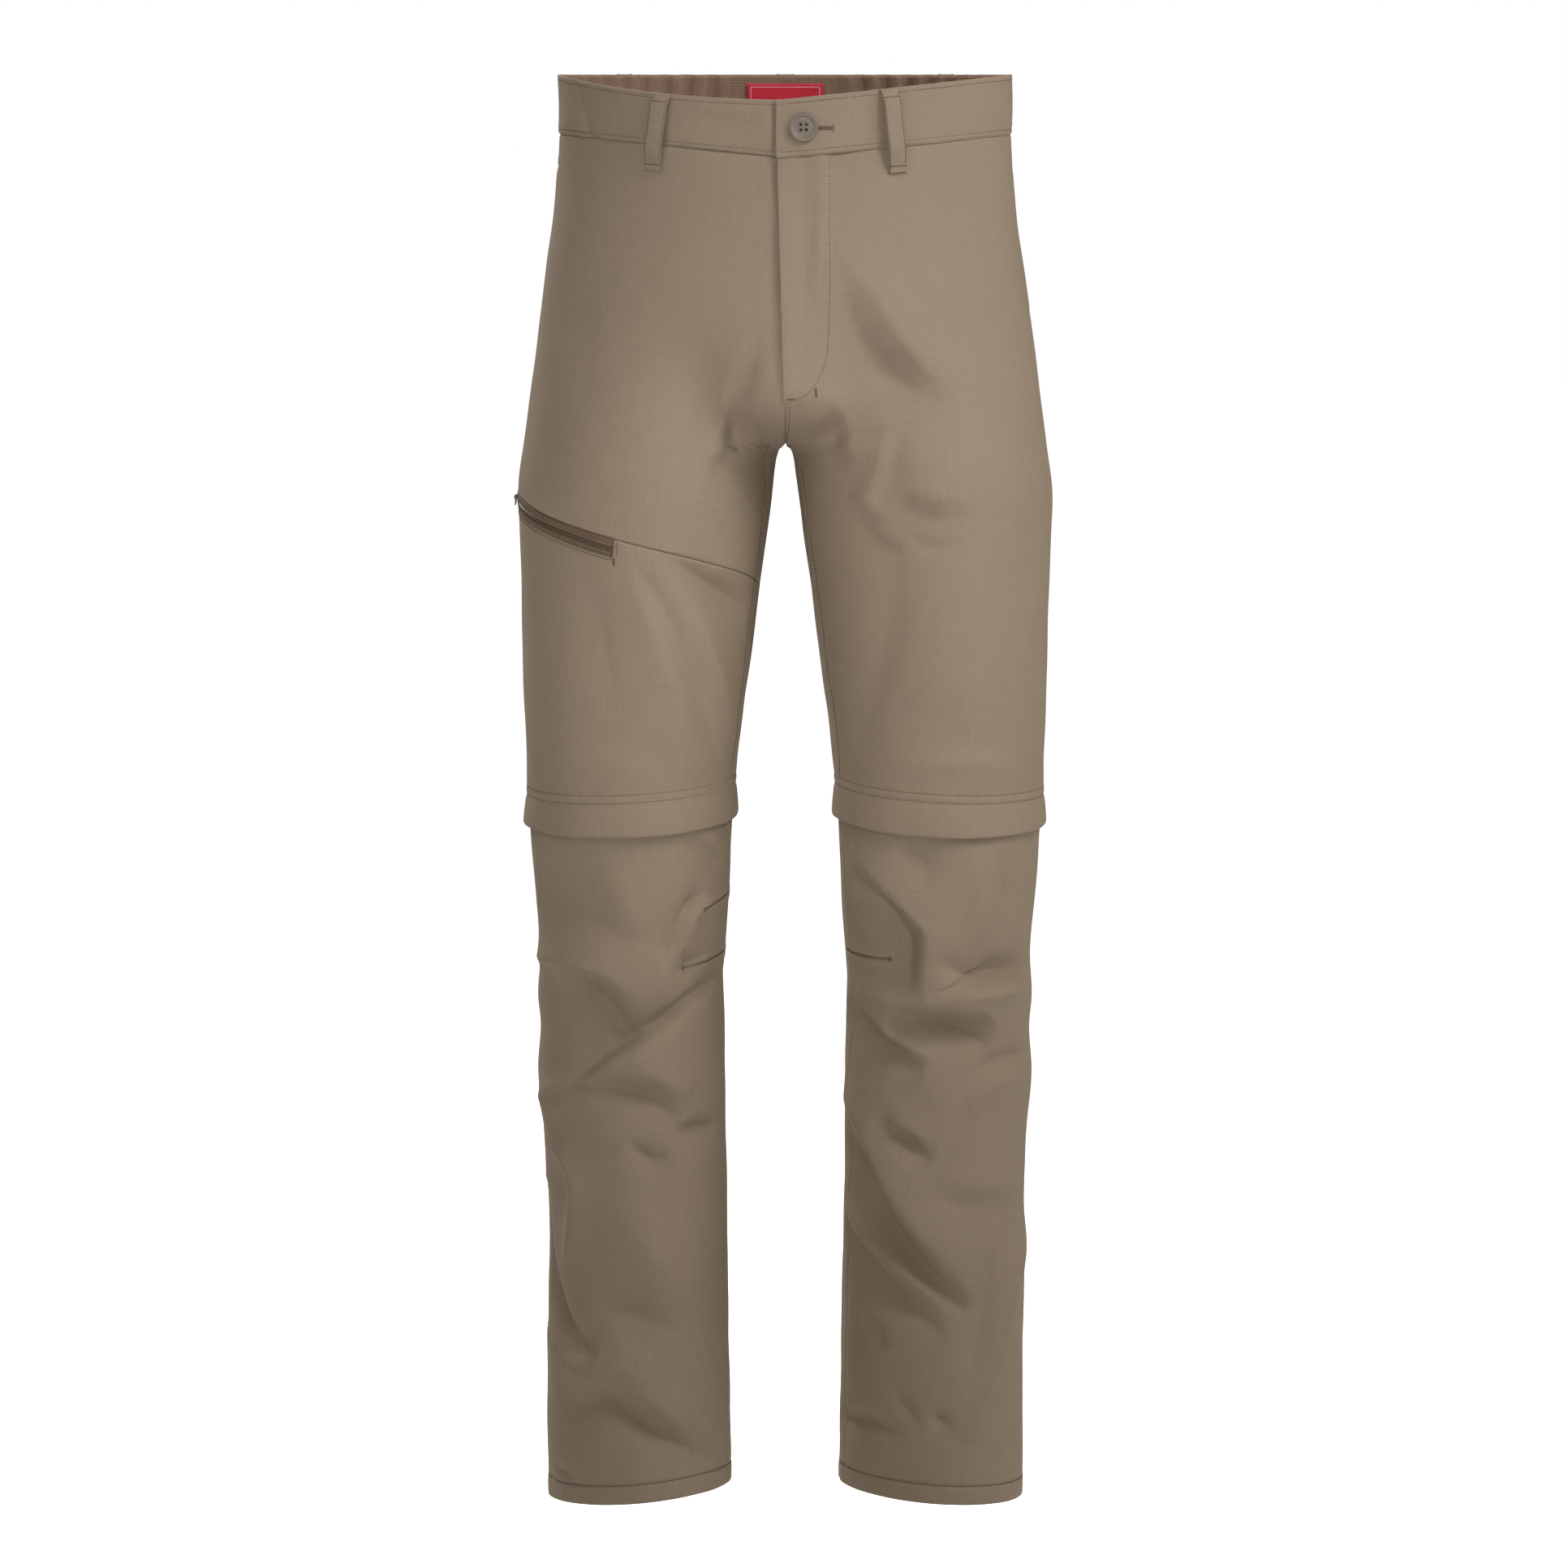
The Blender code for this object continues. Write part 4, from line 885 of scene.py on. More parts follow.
def puckers(around, distance, tall=0.18, pitch=6.1, reach=4.0):
    """Small ripples that a sewn line leaves beside itself."""
    run = around * ROUND_MM
    wave = np.sin(2.0 * np.pi * run / pitch + 1.3 * np.sin(run * 0.09))
    return tall * wave * np.exp(-((distance / reach) ** 2))


def side_dip(around):
    """Dip of a panel's edges into the inseam, the centre seam and the side seam."""
    outer = (around - SIDE_SEAM) * ROUND_MM
    return np.minimum(seam_dip(from_inseam(around)), seam_dip(outer))


def grid_between(top, bottom, rows):
    """Drops of a grid whose rows run from the top edge to the bottom edge, in mm from the top."""
    share = (rows - rows[0])[:, None] / (rows[-1] - rows[0])
    return top + (bottom - top) * share


def panel(name, side, around, down, lift=0.0, lower=False, creased=True, thickness=CLOTH):
    """Sheet of cloth laid on the garment's form."""
    around, down, lift = np.broadcast_arrays(around, down, lift)
    points = place(side, around, down, lift, lower, creased)
    return cloth_object(name, points, around * ROUND_MM, down, side < 0, thickness)


def knee_rows(around, down):
    """Two sewn lines just above the knee flap and the pull they leave."""
    above = knee_stitch(around) - down
    rows = groove(above - LOWER_KNEE_ROW) + groove(above - KNEE_ROW)
    return rows + puckers(around, above - 4.0, 0.2) + 0.3 * smooth((KNEE_ROW + 1.5 - above) / 2.0)


def inseam_groove(around, down):
    """Line of the seam along the inside of the leg, a little to the front."""
    shown = smooth((down - CROTCH - 6.0) / 12.0)
    return shown * groove(around * ROUND_MM - INSEAM_LINE) * (around < 1.0)


def thigh_panels(cloth):
    """Both backs and the left front, from the waistband to under the knee flap."""
    for side, hand in HANDS:
        for around, half, step in ((across_front(), "front", 2.4), (across_back(3.2), "back", 2.9)):
            if side < 0 and half == "front":
                continue
            rows = stops(0.0, THIGH_ROWS, step, TURN_IN, KNEE_GROOVES)
            down = grid_between(band_seam(around), knee_stitch(around) + UNDER_FLAP, rows)
            lift = side_dip(around) + seam_dip(down - band_seam(around)) + knee_rows(around, down)
            lift = lift + inseam_groove(around, down) + hand_pocket(around, down)
            if half == "back":
                lift = lift + groove((2.0 - around) * ROUND_MM - SEAT_ROW, 0.4) * (down < CROTCH)
            piece = panel(f"{hand}_{half}", side, around, down, lift)
            dress(piece, cloth, [f"{half}_{hand}"])


def hand_pocket(around, down):
    """The front's side edge stands off a little at the hand pocket in the side seam."""
    opening = smooth((down - 62.0) / 12.0) * (1.0 - smooth((down - 168.0) / 12.0))
    edge = np.exp(-(((SIDE_SEAM - around) * ROUND_MM - 3.0) / 3.0) ** 2) * (around <= SIDE_SEAM)
    return 1.3 * opening * edge


def right_front(cloth):
    """Right front in two: above the pocket seam, and the pocket itself below it."""
    around = across_front()
    seam = pocket_seam(around)
    down = grid_between(band_seam(around), seam, stops(0.0, UPPER_FRONT_ROWS, 2.4, TURN_IN, TURN_IN))
    lift = side_dip(around) + seam_dip(down - band_seam(around)) + seam_dip(down - seam, 0.8, 1.6)
    lift = lift + inseam_groove(around, down) + hand_pocket(around, down)
    dress(panel("right_front_top", -1, around, down, lift), cloth, ["front_right_upper"])

    zip_round = round_of(POCKET_ZIP_TURN)
    before = stops(0.0, zip_round * ROUND_MM, 2.3, TURN_IN, ()) / ROUND_MM
    after = stops(zip_round * ROUND_MM + 0.5, SIDE_SEAM * ROUND_MM, 2.3, (), TURN_IN) / ROUND_MM
    around = np.concatenate([before, after])
    at_zip = smooth((around - zip_round) * ROUND_MM / 0.4)
    top = pocket_seam(around) + 0.2 + (POCKET_ZIP_HEIGHT - 1.0) * at_zip
    rows = stops(0.0, POCKET_ROWS, 2.3, TURN_IN, KNEE_GROOVES)
    down = grid_between(top, knee_stitch(around) + UNDER_FLAP, rows)
    below = down - top
    lift = side_dip(around) + seam_dip(below, 0.9 + 0.5 * at_zip, 1.6)
    lift = lift + at_zip * (groove(below - 2.6) + 0.5 * np.exp(-((below - 1.3) / 0.8) ** 2))
    beside = np.exp(-((down - pocket_seam(around) - 7.0) / 5.0) ** 4)
    lift = lift + (1.0 - at_zip) * beside * groove((zip_round - around) * ROUND_MM - 2.4)
    lift = lift + knee_rows(around, down) + inseam_groove(around, down)
    dress(panel("right_front_pocket", -1, around, down, lift), cloth, ["front_right_lower"])


def knee_flaps(cloth):
    """Folded flap over each leg zip: proud of the thigh, its lower edge turned in."""
    # share of the way down the flap, height over the thigh
    section = ((0.0, -0.6), (0.02, 0.1), (0.06, 0.55), (0.14, 0.95), (0.27, 1.4), (0.42, 1.85),
               (0.58, 2.25), (0.74, 2.55), (0.86, 2.75), (0.94, 2.7), (0.985, 2.35), (1.0, 1.8),
               (0.985, 1.2), (0.93, 0.9), (0.7, 0.8))
    share = np.array([row[0] for row in section])[:, None]
    lift = np.array([row[1] for row in section])[:, None]
    for side, hand in HANDS:
        for around, half in ((across_front(), "front"), (across_back(), "back")):
            top, bottom = knee_stitch(around), flap_edge(around)
            down = top + (bottom - top) * share
            run = around * ROUND_MM
            swell = (0.45 * np.sin(0.09 * run + side) + 0.2 * np.sin(0.21 * run)) * share
            swell = swell + puckers(around, (down - top) - 1.0, 0.16)
            dip = np.minimum(side_dip(around), 0.0) * 0.8
            piece = panel(f"{hand}_knee_flap_{half}", side, around, down, lift + swell + dip, creased=False,
                          thickness=0.55)
            dress(piece, cloth, [f"knee_flap_{hand}_{half}"])


def lower_legs(cloth):
    """Lower legs from under the flap to a hem turned up inside."""
    hem_depth, hem_wall = 17.0, 1.3
    for side, hand in HANDS:
        for around, half, step in ((across_front(), "front", 2.5), (across_back(3.2), "back", 2.9)):
            top, bottom = flap_edge(around) - 6.0, hem_edge(around)
            rows = stops(0.0, LOWER_LEG_ROWS, step, (), HEM_GROOVE)
            if half == "front":
                at_darts = [np.arange(57.0, 76.0, 0.8), np.arange(101.0, 121.0, 0.8)]
                rows = np.unique(np.concatenate([rows, *at_darts]))
            down = grid_between(top, bottom, rows)
            inside = np.array([0.35, 0.2, -0.6, -2.5, -8.0, -hem_depth])[:, None] + bottom
            from_hem = bottom - down
            lift = side_dip(around) + knee_darts(side, around, down) + inseam_groove(around, down)
            lift = lift + 0.4 * smooth((HEM_ROW - 0.5 - from_hem) / 1.5)
            lift = lift - 0.35 * (1.0 - smooth(from_hem / 1.2)) + groove(from_hem - HEM_ROW, 0.4)
            lift = lift + puckers(around, from_hem - HEM_ROW + 3.0, 0.25, 5.3, 7.0)
            turned = np.array([-0.45, -0.9, -hem_wall, -hem_wall, -hem_wall, -hem_wall])[:, None]
            turned = turned + np.zeros(around.shape)
            piece = panel(f"{hand}_lower_leg_{half}", side, around, np.vstack([down, inside]),
                          np.vstack([lift, turned]), lower=True)
            dress(piece, cloth, [f"shin_{hand}_{half}"])


def knee_darts(side, around, down):
    """Sewn darts that run from the inseam and shape the knee."""
    height = np.zeros(np.broadcast(around, down).shape)
    for (start_round, start_down), (end_round, end_down) in DARTS[side]:
        a, b = start_round * ROUND_MM, end_round * ROUND_MM
        run_a, run_d = b - a, end_down - start_down
        x, y = around * ROUND_MM - a, down - start_down
        share = np.clip((x * run_a + y * run_d) / (run_a ** 2 + run_d ** 2), 0.0, 1.0)
        away = np.hypot(x - share * run_a, y - share * run_d)
        height = height - 1.3 * np.exp(-((away / 1.0) ** 2)) + 0.5 * np.exp(-(((away - 3.4) / 2.0) ** 2))
    return np.where(around < 1.0, height, 0.0)


def zip_rings(tape):
    """Closed zip under each knee flap, seen only from inside."""
    around = np.linspace(0.0, 2.0, 160)
    for side, hand in HANDS:
        top, bottom = knee_stitch(around) + 5.0, flap_edge(around) - 2.0
        down = grid_between(top, bottom, np.linspace(0.0, 1.0, 9))
        ribs = 0.25 * np.cos(2 * np.pi * np.linspace(0.0, 1.0, 9))[:, None]
        piece = panel(f"{hand}_zip_ring", side, around, down, -1.5 + ribs, creased=False, thickness=0.4)
        dress(piece, tape, [f"leg_zip_{hand}"])


def band_lift(side, around, down):
    """Height of the waistband's face at the front, the left half lapped over the right."""
    seam = band_seam(np.maximum(around, 0.0))
    if side > 0:
        lap = 2.6 * (1.0 - smooth((around - 0.10) / 0.16))
        dip = seam_dip(down - seam - 0.8, 0.4 + 0.8 * smooth(around * BAND_MM / 3.0))
        lift = 0.9 + lap + dip + np.where(around > 0.5, side_dip(around), 0.0)
        lift = lift + groove((around + PAST_CENTRE / BAND_MM) * BAND_MM - 2.8)
    else:
        lift = 0.9 + seam_dip(down - seam, 1.2) + np.where(around > 0.5, side_dip(around), 0.0)
        lift = lift - 2.6 * (1.0 - smooth((around * BAND_MM + 2.0) / 20.0))
    top = down - band_top(side, around)
    lift = lift + groove(down - seam + BAND_ROW) + groove(top - BAND_ROW, 0.15)
    return lift + puckers(around, down - seam + BAND_ROW, 0.16, 5.5, 3.0) + band_crease(side, around, down)


def band_front(cloth):
    """Front halves of the waistband: double cloth with its top edge folded, left over right."""
    wall, under = 1.7, 11.0
    top_fold = np.array([(0.0, -0.9), (-0.25, -0.6), (0.0, -0.2), (0.5, 0.0)])
    inner_rows = np.array([38.0, 26.0, 13.0, 4.0, 1.0])[:, None]
    outer_rows = stops(0.0, 40.0, 2.2, (0.9, 1.8, 2.6, 3.5, 4.4), TURN_IN)

    start = -PAST_CENTRE / BAND_MM
    end_fold = start + np.array([0.012, 0.004, -0.001, -0.0035, -0.0025, 0.001])
    end_lift = np.array([-1.9, -1.7, -1.4, -0.8, -0.25, 0.0])
    rest = stops(start * ROUND_MM + 1.5, SIDE_SEAM * ROUND_MM, 2.3, (), TURN_IN) / ROUND_MM
    halves = (
        # side, columns, how far the end folds in, overlap below the seam
        (-1, np.concatenate([[-under / BAND_MM], across_front(2.3)]), 0.0, 0.0),
        (1, np.concatenate([end_fold, rest]), np.concatenate([end_lift, np.zeros(len(rest))]), 0.8),
    )
    for side, around, folded, below in halves:
        top, seam = band_top(side, around), band_seam(np.maximum(around, 0.0))
        outer = grid_between(top + 1.4, seam + below, outer_rows)
        inside = np.minimum(top + inner_rows, seam - 1.0)
        face = band_lift(side, around, outer)
        behind = face[:1] - wall + np.zeros(inside.shape)
        lift = np.vstack([behind, top_fold[:, 1:] + face[:1], face]) + folded
        down = np.vstack([inside, top + top_fold[:, :1], outer])
        hand = "left" if side > 0 else "right"
        piece = panel(f"band_{hand}", side, around, down, lift, creased=False, thickness=THIN_CLOTH)
        dress(piece, cloth, [f"waistband_{hand}"])


def band_crease(side, around, down):
    """Soft waves along the waistband's front."""
    run = around * BAND_MM
    level = down - band_seam(np.abs(around))
    wave = 0.5 * np.sin(run * 0.055 + 0.8 * side) * np.sin(level * 0.11 + 0.6)
    slant = run - 200.0 + (level + 20.0) * 0.9
    fold = -1.6 * np.exp(-((slant / 9.0) ** 2)) + 1.2 * np.exp(-(((slant - 13.0) / 9.0) ** 2))
    shown = smooth(run / 20.0) * (1.0 - smooth((run - 70) / 50))
    sag = 0.9 * np.exp(-((level + 27.0 + 0.06 * run) / 6.0) ** 2) * shown
    return wave + (fold + sag if side < 0 else 0.0)


def gather_wave(sweep, down):
    """Folds of the elastic back, as many as the solid has, with small ones between them."""
    gathers = 12
    calm = smooth(sweep * 12.0) * (1.0 - smooth((sweep - 0.74) / 0.14))
    main = np.sin(2.0 * np.pi * gathers * sweep + 0.35 * np.sin(9.0 * sweep + 0.08 * down))
    small = np.sin(2.0 * np.pi * 3.1 * gathers * sweep + 0.15 * down)
    return calm * (1.45 * main + 0.22 * small)


def across_whole_back(name, around, down, lift, thickness, flat_u):
    """One sheet from the right side seam round the back to the left side seam."""
    left = place(1, around, down, lift, creased=False)
    right = place(-1, around, down, lift, creased=False)
    points = np.concatenate([left, right[:, -2::-1]], axis=1)
    rows = np.concatenate([flat_u, 2 * flat_u[-1] - flat_u[-2::-1]])
    drop = np.concatenate([down, down[:, -2::-1]], axis=1)
    return cloth_object(name, points, rows[None, :] + 0.0 * drop, drop, False, thickness)


def gathered_columns():
    """Columns of the elastic back, and their share of the way to its centre."""
    around = np.linspace(SIDE_SEAM, 2.0, 196)
    return around, (around - around[0]) / (around[-1] - around[0])


def band_back(cloth):
    """Gathered elastic back of the waistband, its top edge folded in."""
    around, sweep = gathered_columns()
    seam = band_seam(around)
    rows = stops(0.6, 43.0, 2.0, (), TURN_IN)[:, None]
    fold = np.array([1.2, 0.2, -0.1, 0.15])[:, None]
    fold_lift = np.array([-1.3, -0.9, -0.5, -0.15])[:, None]
    down = np.vstack([fold, rows]) + np.zeros(around.shape)
    edge = seam_dip(rows - seam, 1.2) + side_dip(around) + 0.2 * np.sin(np.minimum(rows, 20.0) * 0.9)
    wave = gather_wave(sweep, down)
    lift = np.vstack([fold_lift + np.zeros(around.shape), edge]) + 0.5 + wave
    piece = across_whole_back("band_back", around, down, lift, THIN_CLOTH, around * ROUND_MM)
    dress(piece, cloth, ["waistband_back"])


def band_facing(facing):
    """Brushed facing inside the elastic back."""
    around, sweep = gathered_columns()
    rows = stops(0.8, 39.0, 1.6)[:, None]
    down = rows + np.zeros(around.shape)
    ribs = 0.18 * np.sin(rows * 1.9)
    lift = gather_wave(sweep, down) - 1.35 + ribs
    piece = across_whole_back("band_facing", around, down, lift, THIN_CLOTH, around * ROUND_MM)
    dress(piece, facing, ["waist_facing"])


def label_curl(around, down):
    """The label ripples a little below its sewn top edge."""
    return 0.3 * np.sin(around * 40.0) * smooth((down - 10.0) / 20.0)


def care_label(label):
    """Plain label sewn to the middle of the facing."""
    half_width, top, bottom = 29.0, 6.5, 32.0
    around = np.linspace(2.0 - around_at(half_width, HALF_WAIST), 2.0, 24)
    rows = np.linspace(top, bottom, 18)[:, None]
    down = rows + np.zeros(around.shape)
    lift = -2.6 + label_curl(around, rows)
    piece = across_whole_back("care_label", around, down, lift, 0.4, (around - 2.0) * ROUND_MM)
    dress(piece, label, ["waist_label"])


def fly(cloth):
    """Raised fly strip on the left front, its free edge folded and standing off the right front."""
    rows = stops(0.0, FLY_ROWS, 1.8, (0.8,), (0.6, 1.4, 2.6))
    drop = FLY_TOP + (FLY_BOTTOM - FLY_TOP) * (rows / FLY_ROWS)
    inner_edge, outer_edge, share = fly_edges(drop)
    # turned free edge: distance in from it, height
    free = np.array([(2.2, -2.0), (0.6, -1.7), (-0.3, -1.2), (-0.5, -0.6), (-0.2, -0.1), (0.6, 0.05)])
    body_part = np.concatenate([np.linspace(0.04, 0.9, 19), [0.93, 0.96, 0.98, 1.0]])[None, :]
    flat_part = inner_edge[:, None] + 1.2 + (outer_edge - inner_edge - 1.2)[:, None] * body_part
    across = np.hstack([inner_edge[:, None] + free[:, 0][None, :], flat_part])
    ripple = 1.3 * np.exp(-((flat_part - 22.0 - 3.0 * np.sin(0.02 * drop[:, None])) / 4.5) ** 2)
    ripple = ripple * smooth((190.0 - drop[:, None]) / 80.0)
    hollow = -0.7 * np.exp(-((flat_part - 13.0) / 4.5) ** 2)
    from_edge = outer_edge[:, None] - flat_part
    settle = -1.5 * (1.0 - smooth(from_edge / 2.2)) + groove(from_edge - FLY_ROW, 0.3)
    wave = np.sin(2.0 * np.pi * drop / 6.3 + 1.5 * np.sin(drop * 0.07))[:, None]
    settle = settle + 0.22 * wave * np.exp(-((from_edge - 2.0) / 4.0) ** 2)
    taper = fly_taper(share)[:, None]
    proud = taper * (2.6 - 1.5 * smooth((flat_part + 2.0) / 30.0))
    lift = np.hstack([free[:, 1][None, :] + 2.6 * taper, proud + ripple + hollow + settle])
    width = along(THIGH_SECTIONS, 1, drop)[:, None]
    around = around_at(across, width)
    down = drop[:, None] + (band_seam(np.abs(around)) - band_seam(0.0)) * (1.0 - share)[:, None]
    piece = panel("fly_strip", 1, around, down, lift, thickness=THIN_CLOTH)
    dress(piece, cloth, ["fly_placket"])


def fly_edges(drop):
    """Free edge and curved outer edge of the fly strip, in mm from the centre."""
    wide, past_top, past_bottom = 34.0, 5.7, 1.2
    share = (drop - FLY_TOP) / (FLY_BOTTOM - FLY_TOP)
    inner = -(past_top + (past_bottom - past_top) * share)
    curve = np.sqrt(np.clip(1.0 - ((share - 0.78) / 0.225) ** 2, 0.03, 1.0))
    outer = np.where(share < 0.78, wide, inner + (wide - inner) * curve)
    return inner, outer, share


def fly_taper(share):
    """The strip lies flatter towards its lower end."""
    return 1.0 - 0.7 * smooth((share - 0.65) / 0.35)


def belt_loop(cloth, spot, side, across_top, across_bottom, is_back, seat_top):
    """Folded strip sewn down at both ends, standing off the band between them; returns its stitches."""
    wide, stand_off, seat_bottom = 12.6, 5.0, 1.0
    below_seam, steps = 18.5, 34
    folded_top, folded_end = [0.02, -0.004, -0.012, -0.004], [1.004, 1.01, 1.004, 0.985]
    share = np.concatenate([folded_top, np.linspace(0.01, 0.99, steps), folded_end])
    turned = np.concatenate([[-1.5, -1.3, -0.7, -0.1], np.zeros(steps), [-0.1, -0.6, -1.1, -1.3]])[:, None]
    share = share[:, None]
    # one half of the strip's section: share of its width, height
    half = [(0.1, 0.0), (0.3, 0.1), (0.44, 0.0), (0.485, -0.2), (0.5, -0.75), (0.46, -1.25), (0.36, -1.3)]
    section = np.array([(-x, height) for x, height in reversed(half)] + half)
    middle = across_top + (across_bottom - across_top) * share
    slant = np.sqrt(1.0 - (middle / HALF_WAIST) ** 2)
    lean = 1.0 / np.hypot(1.0, 0.62 * (middle / HALF_WAIST) / np.maximum(slant, 0.05))
    across = middle + section[:, 0][None, :] * wide * lean
    around = around_at(across, HALF_WAIST)
    if is_back:
        around = 2.0 - around
    top, seam = band_top(side, around), band_seam(around)
    down = top + 0.6 + share * (seam + below_seam - top - 0.6)
    seat = seat_top + (seat_bottom - seat_top) * smooth((share - 0.7) / 0.2)
    body = np.clip(share, 0.0, 1.0)
    gap = seat + (seat_top + stand_off - seat) * smooth(body / 0.2) ** 0.8 * smooth((1.0 - body) / 0.3)
    lift = gap + 1.4 + section[:, 1][None, :] + turned
    swell = 0.35 * np.exp(-((np.abs(section[:, 0]) - 0.12) / 0.1) ** 2) * (section[:, 1] > -0.05)
    lift = lift + swell[None, :]
    points = place(side, around, down, lift, creased=False)
    piece = cloth_object(f"loop_{spot}", points, across + 0.0 * down, down, (side < 0) != is_back, 0.4)
    dress(piece, cloth, [f"belt_loop_{spot}"])
    normals = facing_out(side, around, down)
    edge_columns, bar_rows = (4, 9), (7, 35)
    long_run, short_run = slice(5, 37), slice(4, 10)
    rows = []
    for column in edge_columns:
        rows.append(stitches_along(points[long_run, column], normals[long_run, column], 2.6))
    for row in bar_rows:
        rows.append(stitches_along(points[row, short_run], normals[row, short_run], 0.6))
    return rows


def waist_stitches(thread, loop_rows):
    """Rows along both edges of the front waistband, down its lapped end, and on the belt loops."""
    seam_front = np.linspace(0.02, SIDE_SEAM - 0.01, 400)
    past = -PAST_CENTRE / BAND_MM
    waist = []
    for side in (1, -1):
        around = np.concatenate([[past + 0.013], seam_front]) if side > 0 else seam_front
        down = band_seam(np.maximum(around, 0.0)) - BAND_ROW
        waist.append(sewn(side, around, down, band_lift(side, around, down), creased=False))
        down = band_top(side, around) + BAND_ROW
        waist.append(sewn(side, around, down, band_lift(side, around, down), creased=False))
    down = np.linspace(band_top(1, past) + 2.0, band_seam(0.0) - 2.0, 60)
    around = np.full(60, past + 2.8 / BAND_MM)
    waist.append(sewn(1, around, down, band_lift(1, around, down), creased=False))
    finish_thread("waist_stitches", waist + loop_rows, thread)


def fly_stitches(thread):
    """Curved row of the fly with its bars, the seam below it, and the bars of the hand pockets."""
    drop = np.linspace(FLY_TOP + 2.0, FLY_BOTTOM - 1.0, 300)
    outer, share = fly_edges(drop)[1:]
    around = around_at(outer - FLY_ROW, along(THIGH_SECTIONS, 1, drop))
    down = drop + (band_seam(around) - band_seam(0.0)) * (1.0 - share)
    lift = fly_taper(share) * 1.1 - 0.35
    fly_rows = [sewn(1, around, down, lift, pitch=2.6), bartack(1, 0.075, 226.5, 5.0, 0.9),
                bartack(1, 0.012, 231.0, 4.0, 1.6, level=True)]
    around, down = line(((0.012, 236.0), (0.010, 266.0)))
    fly_rows.append(sewn(1, around, down, 0.0, pitch=2.6))
    for side in (1, -1):
        fly_rows += [bartack(side, SIDE_SEAM - 0.012, level, 6.0, 0.5) for level in (62.0, 180.0)]
    finish_thread("fly_and_pocket_stitches", fly_rows, thread)


def leg_stitches(thread):
    """Rows at the knees and darts, at the hems, and along the inseam and the seat seam."""
    ring = np.linspace(0.012, 1.988, 900)
    ring = ring[np.abs(ring - SIDE_SEAM) > 0.006]
    knees, hems, seams = [], [], []
    for side in (1, -1):
        for above in (LOWER_KNEE_ROW, KNEE_ROW):
            down = knee_stitch(ring) - above
            knees.append(sewn(side, ring, down, knee_rows(ring, down)))
        hems.append(sewn(side, ring, hem_edge(ring) - HEM_ROW, 0.0, lower=True))
        for start, end in DARTS[side]:
            around, down = line((start, end))
            knees.append(sewn(side, around, down, -0.5, lower=True, pitch=2.4))
            knees.append(bartack(side, end[0], end[1], 3.5, 0.0, lower=True))
        inseam = INSEAM_LINE / ROUND_MM
        around, down = line(((inseam, CROTCH + 16.0), (inseam, KNEE_STITCH - 12.0)))
        seams.append(sewn(side, around, down, -0.3))
        seat = 2.0 - SEAT_ROW / ROUND_MM
        around, down = line(((seat, 50.0), (seat, CROTCH - 8.0)))
        seams.append(sewn(side, around, down, -0.2))
    finish_thread("knee_stitches", knees, thread)
    finish_thread("hem_stitches", hems, thread)
    finish_thread("leg_seam_stitches", seams, thread)


def pocket_stitches(thread):
    """Rows below and beside the pocket zip, with the bar at its inner end."""
    beside_zip = 2.4
    zip_round = round_of(POCKET_ZIP_TURN)
    around = np.linspace(zip_round + 0.01, SIDE_SEAM - 0.012, 200)
    pocket = [sewn(-1, around, pocket_seam(around) + POCKET_ZIP_HEIGHT + 1.8, 0.0)]
    beside = zip_round - beside_zip / ROUND_MM
    around, down = line(((beside, pocket_seam(zip_round) + 2.0), (beside, pocket_seam(zip_round) + 12.0)))
    pocket.append(sewn(-1, around, down, -0.1, pitch=2.4))
    pocket.append(bartack(-1, zip_round - 0.002, pocket_seam(zip_round) + 16.5, 5.0, 0.3))
    finish_thread("zip_pocket_stitches", pocket, thread)


def finish_thread(name, rows, thread, slot="cloth", **size):
    """Thread of a group of sewn lines, dressed."""
    dress(thread_object(name, rows, **size), thread)


def buttonhole(thread, dark):
    """Slit beside the button, drawn as a thin sheet in the dark tape material that is painted shade in the
    cut, with satin stitches along both lips and a bar at its end.
    """
    start, end, level = 9.0, 33.0, 38.5
    around = around_at(np.linspace(start, end, 40), HALF_WAIST)
    down = level + np.array([-0.35, 0.0, 0.35])[:, None] + np.zeros(40)
    lift = band_lift(1, around, down) + np.array([0.05, 0.16, 0.05])[:, None]
    # The slit is a thin dark sheet on the band: painted shade standing for the shadow in the cut.
    slit = panel("buttonhole_slit_shade", 1, around, down, lift, creased=False, thickness=0.2)
    dress(slit, dark)
    rows = []
    middle = np.full(40, level)
    for lip in (-1.0, 1.0):
        centre = place(1, around, level + lip, band_lift(1, around, middle), creased=False)
        row = stitches_along(centre, facing_out(1, around, middle), 0.62)
        rows.append((row[0], np.tile((0.0, 0.0, 1.0), (len(row[0]), 1)), row[2]))
    lift = float(band_lift(1, around[-1:], np.array([level]))[0])
    rows.append(bartack(1, around[-1] + 0.004, level, 4.6, lift, creased=False))
    finish_thread("buttonhole_stitches", rows, thread, length=1.5, width=0.55, tall=0.38)


def label_border(pale):
    """Plain woven line along the sides and the top of the red label."""
    half_width, top, bottom = 26.0, 9.0, 31.0
    corners = 2.0 - around_at(np.array((half_width, half_width, 0.0)), HALF_WAIST)
    rows = []
    for side in (1, -1):
        around, down = line(list(zip(corners, (bottom, top, top))), 0.5)
        points = place(side, around, down, -3.05 + label_curl(around, down), creased=False)
        rows.append(stitches_along(points, -facing_out(side, around, down), 1.1))
    finish_thread("label_border", rows, pale, "label", length=1.25, width=0.8, tall=0.25)


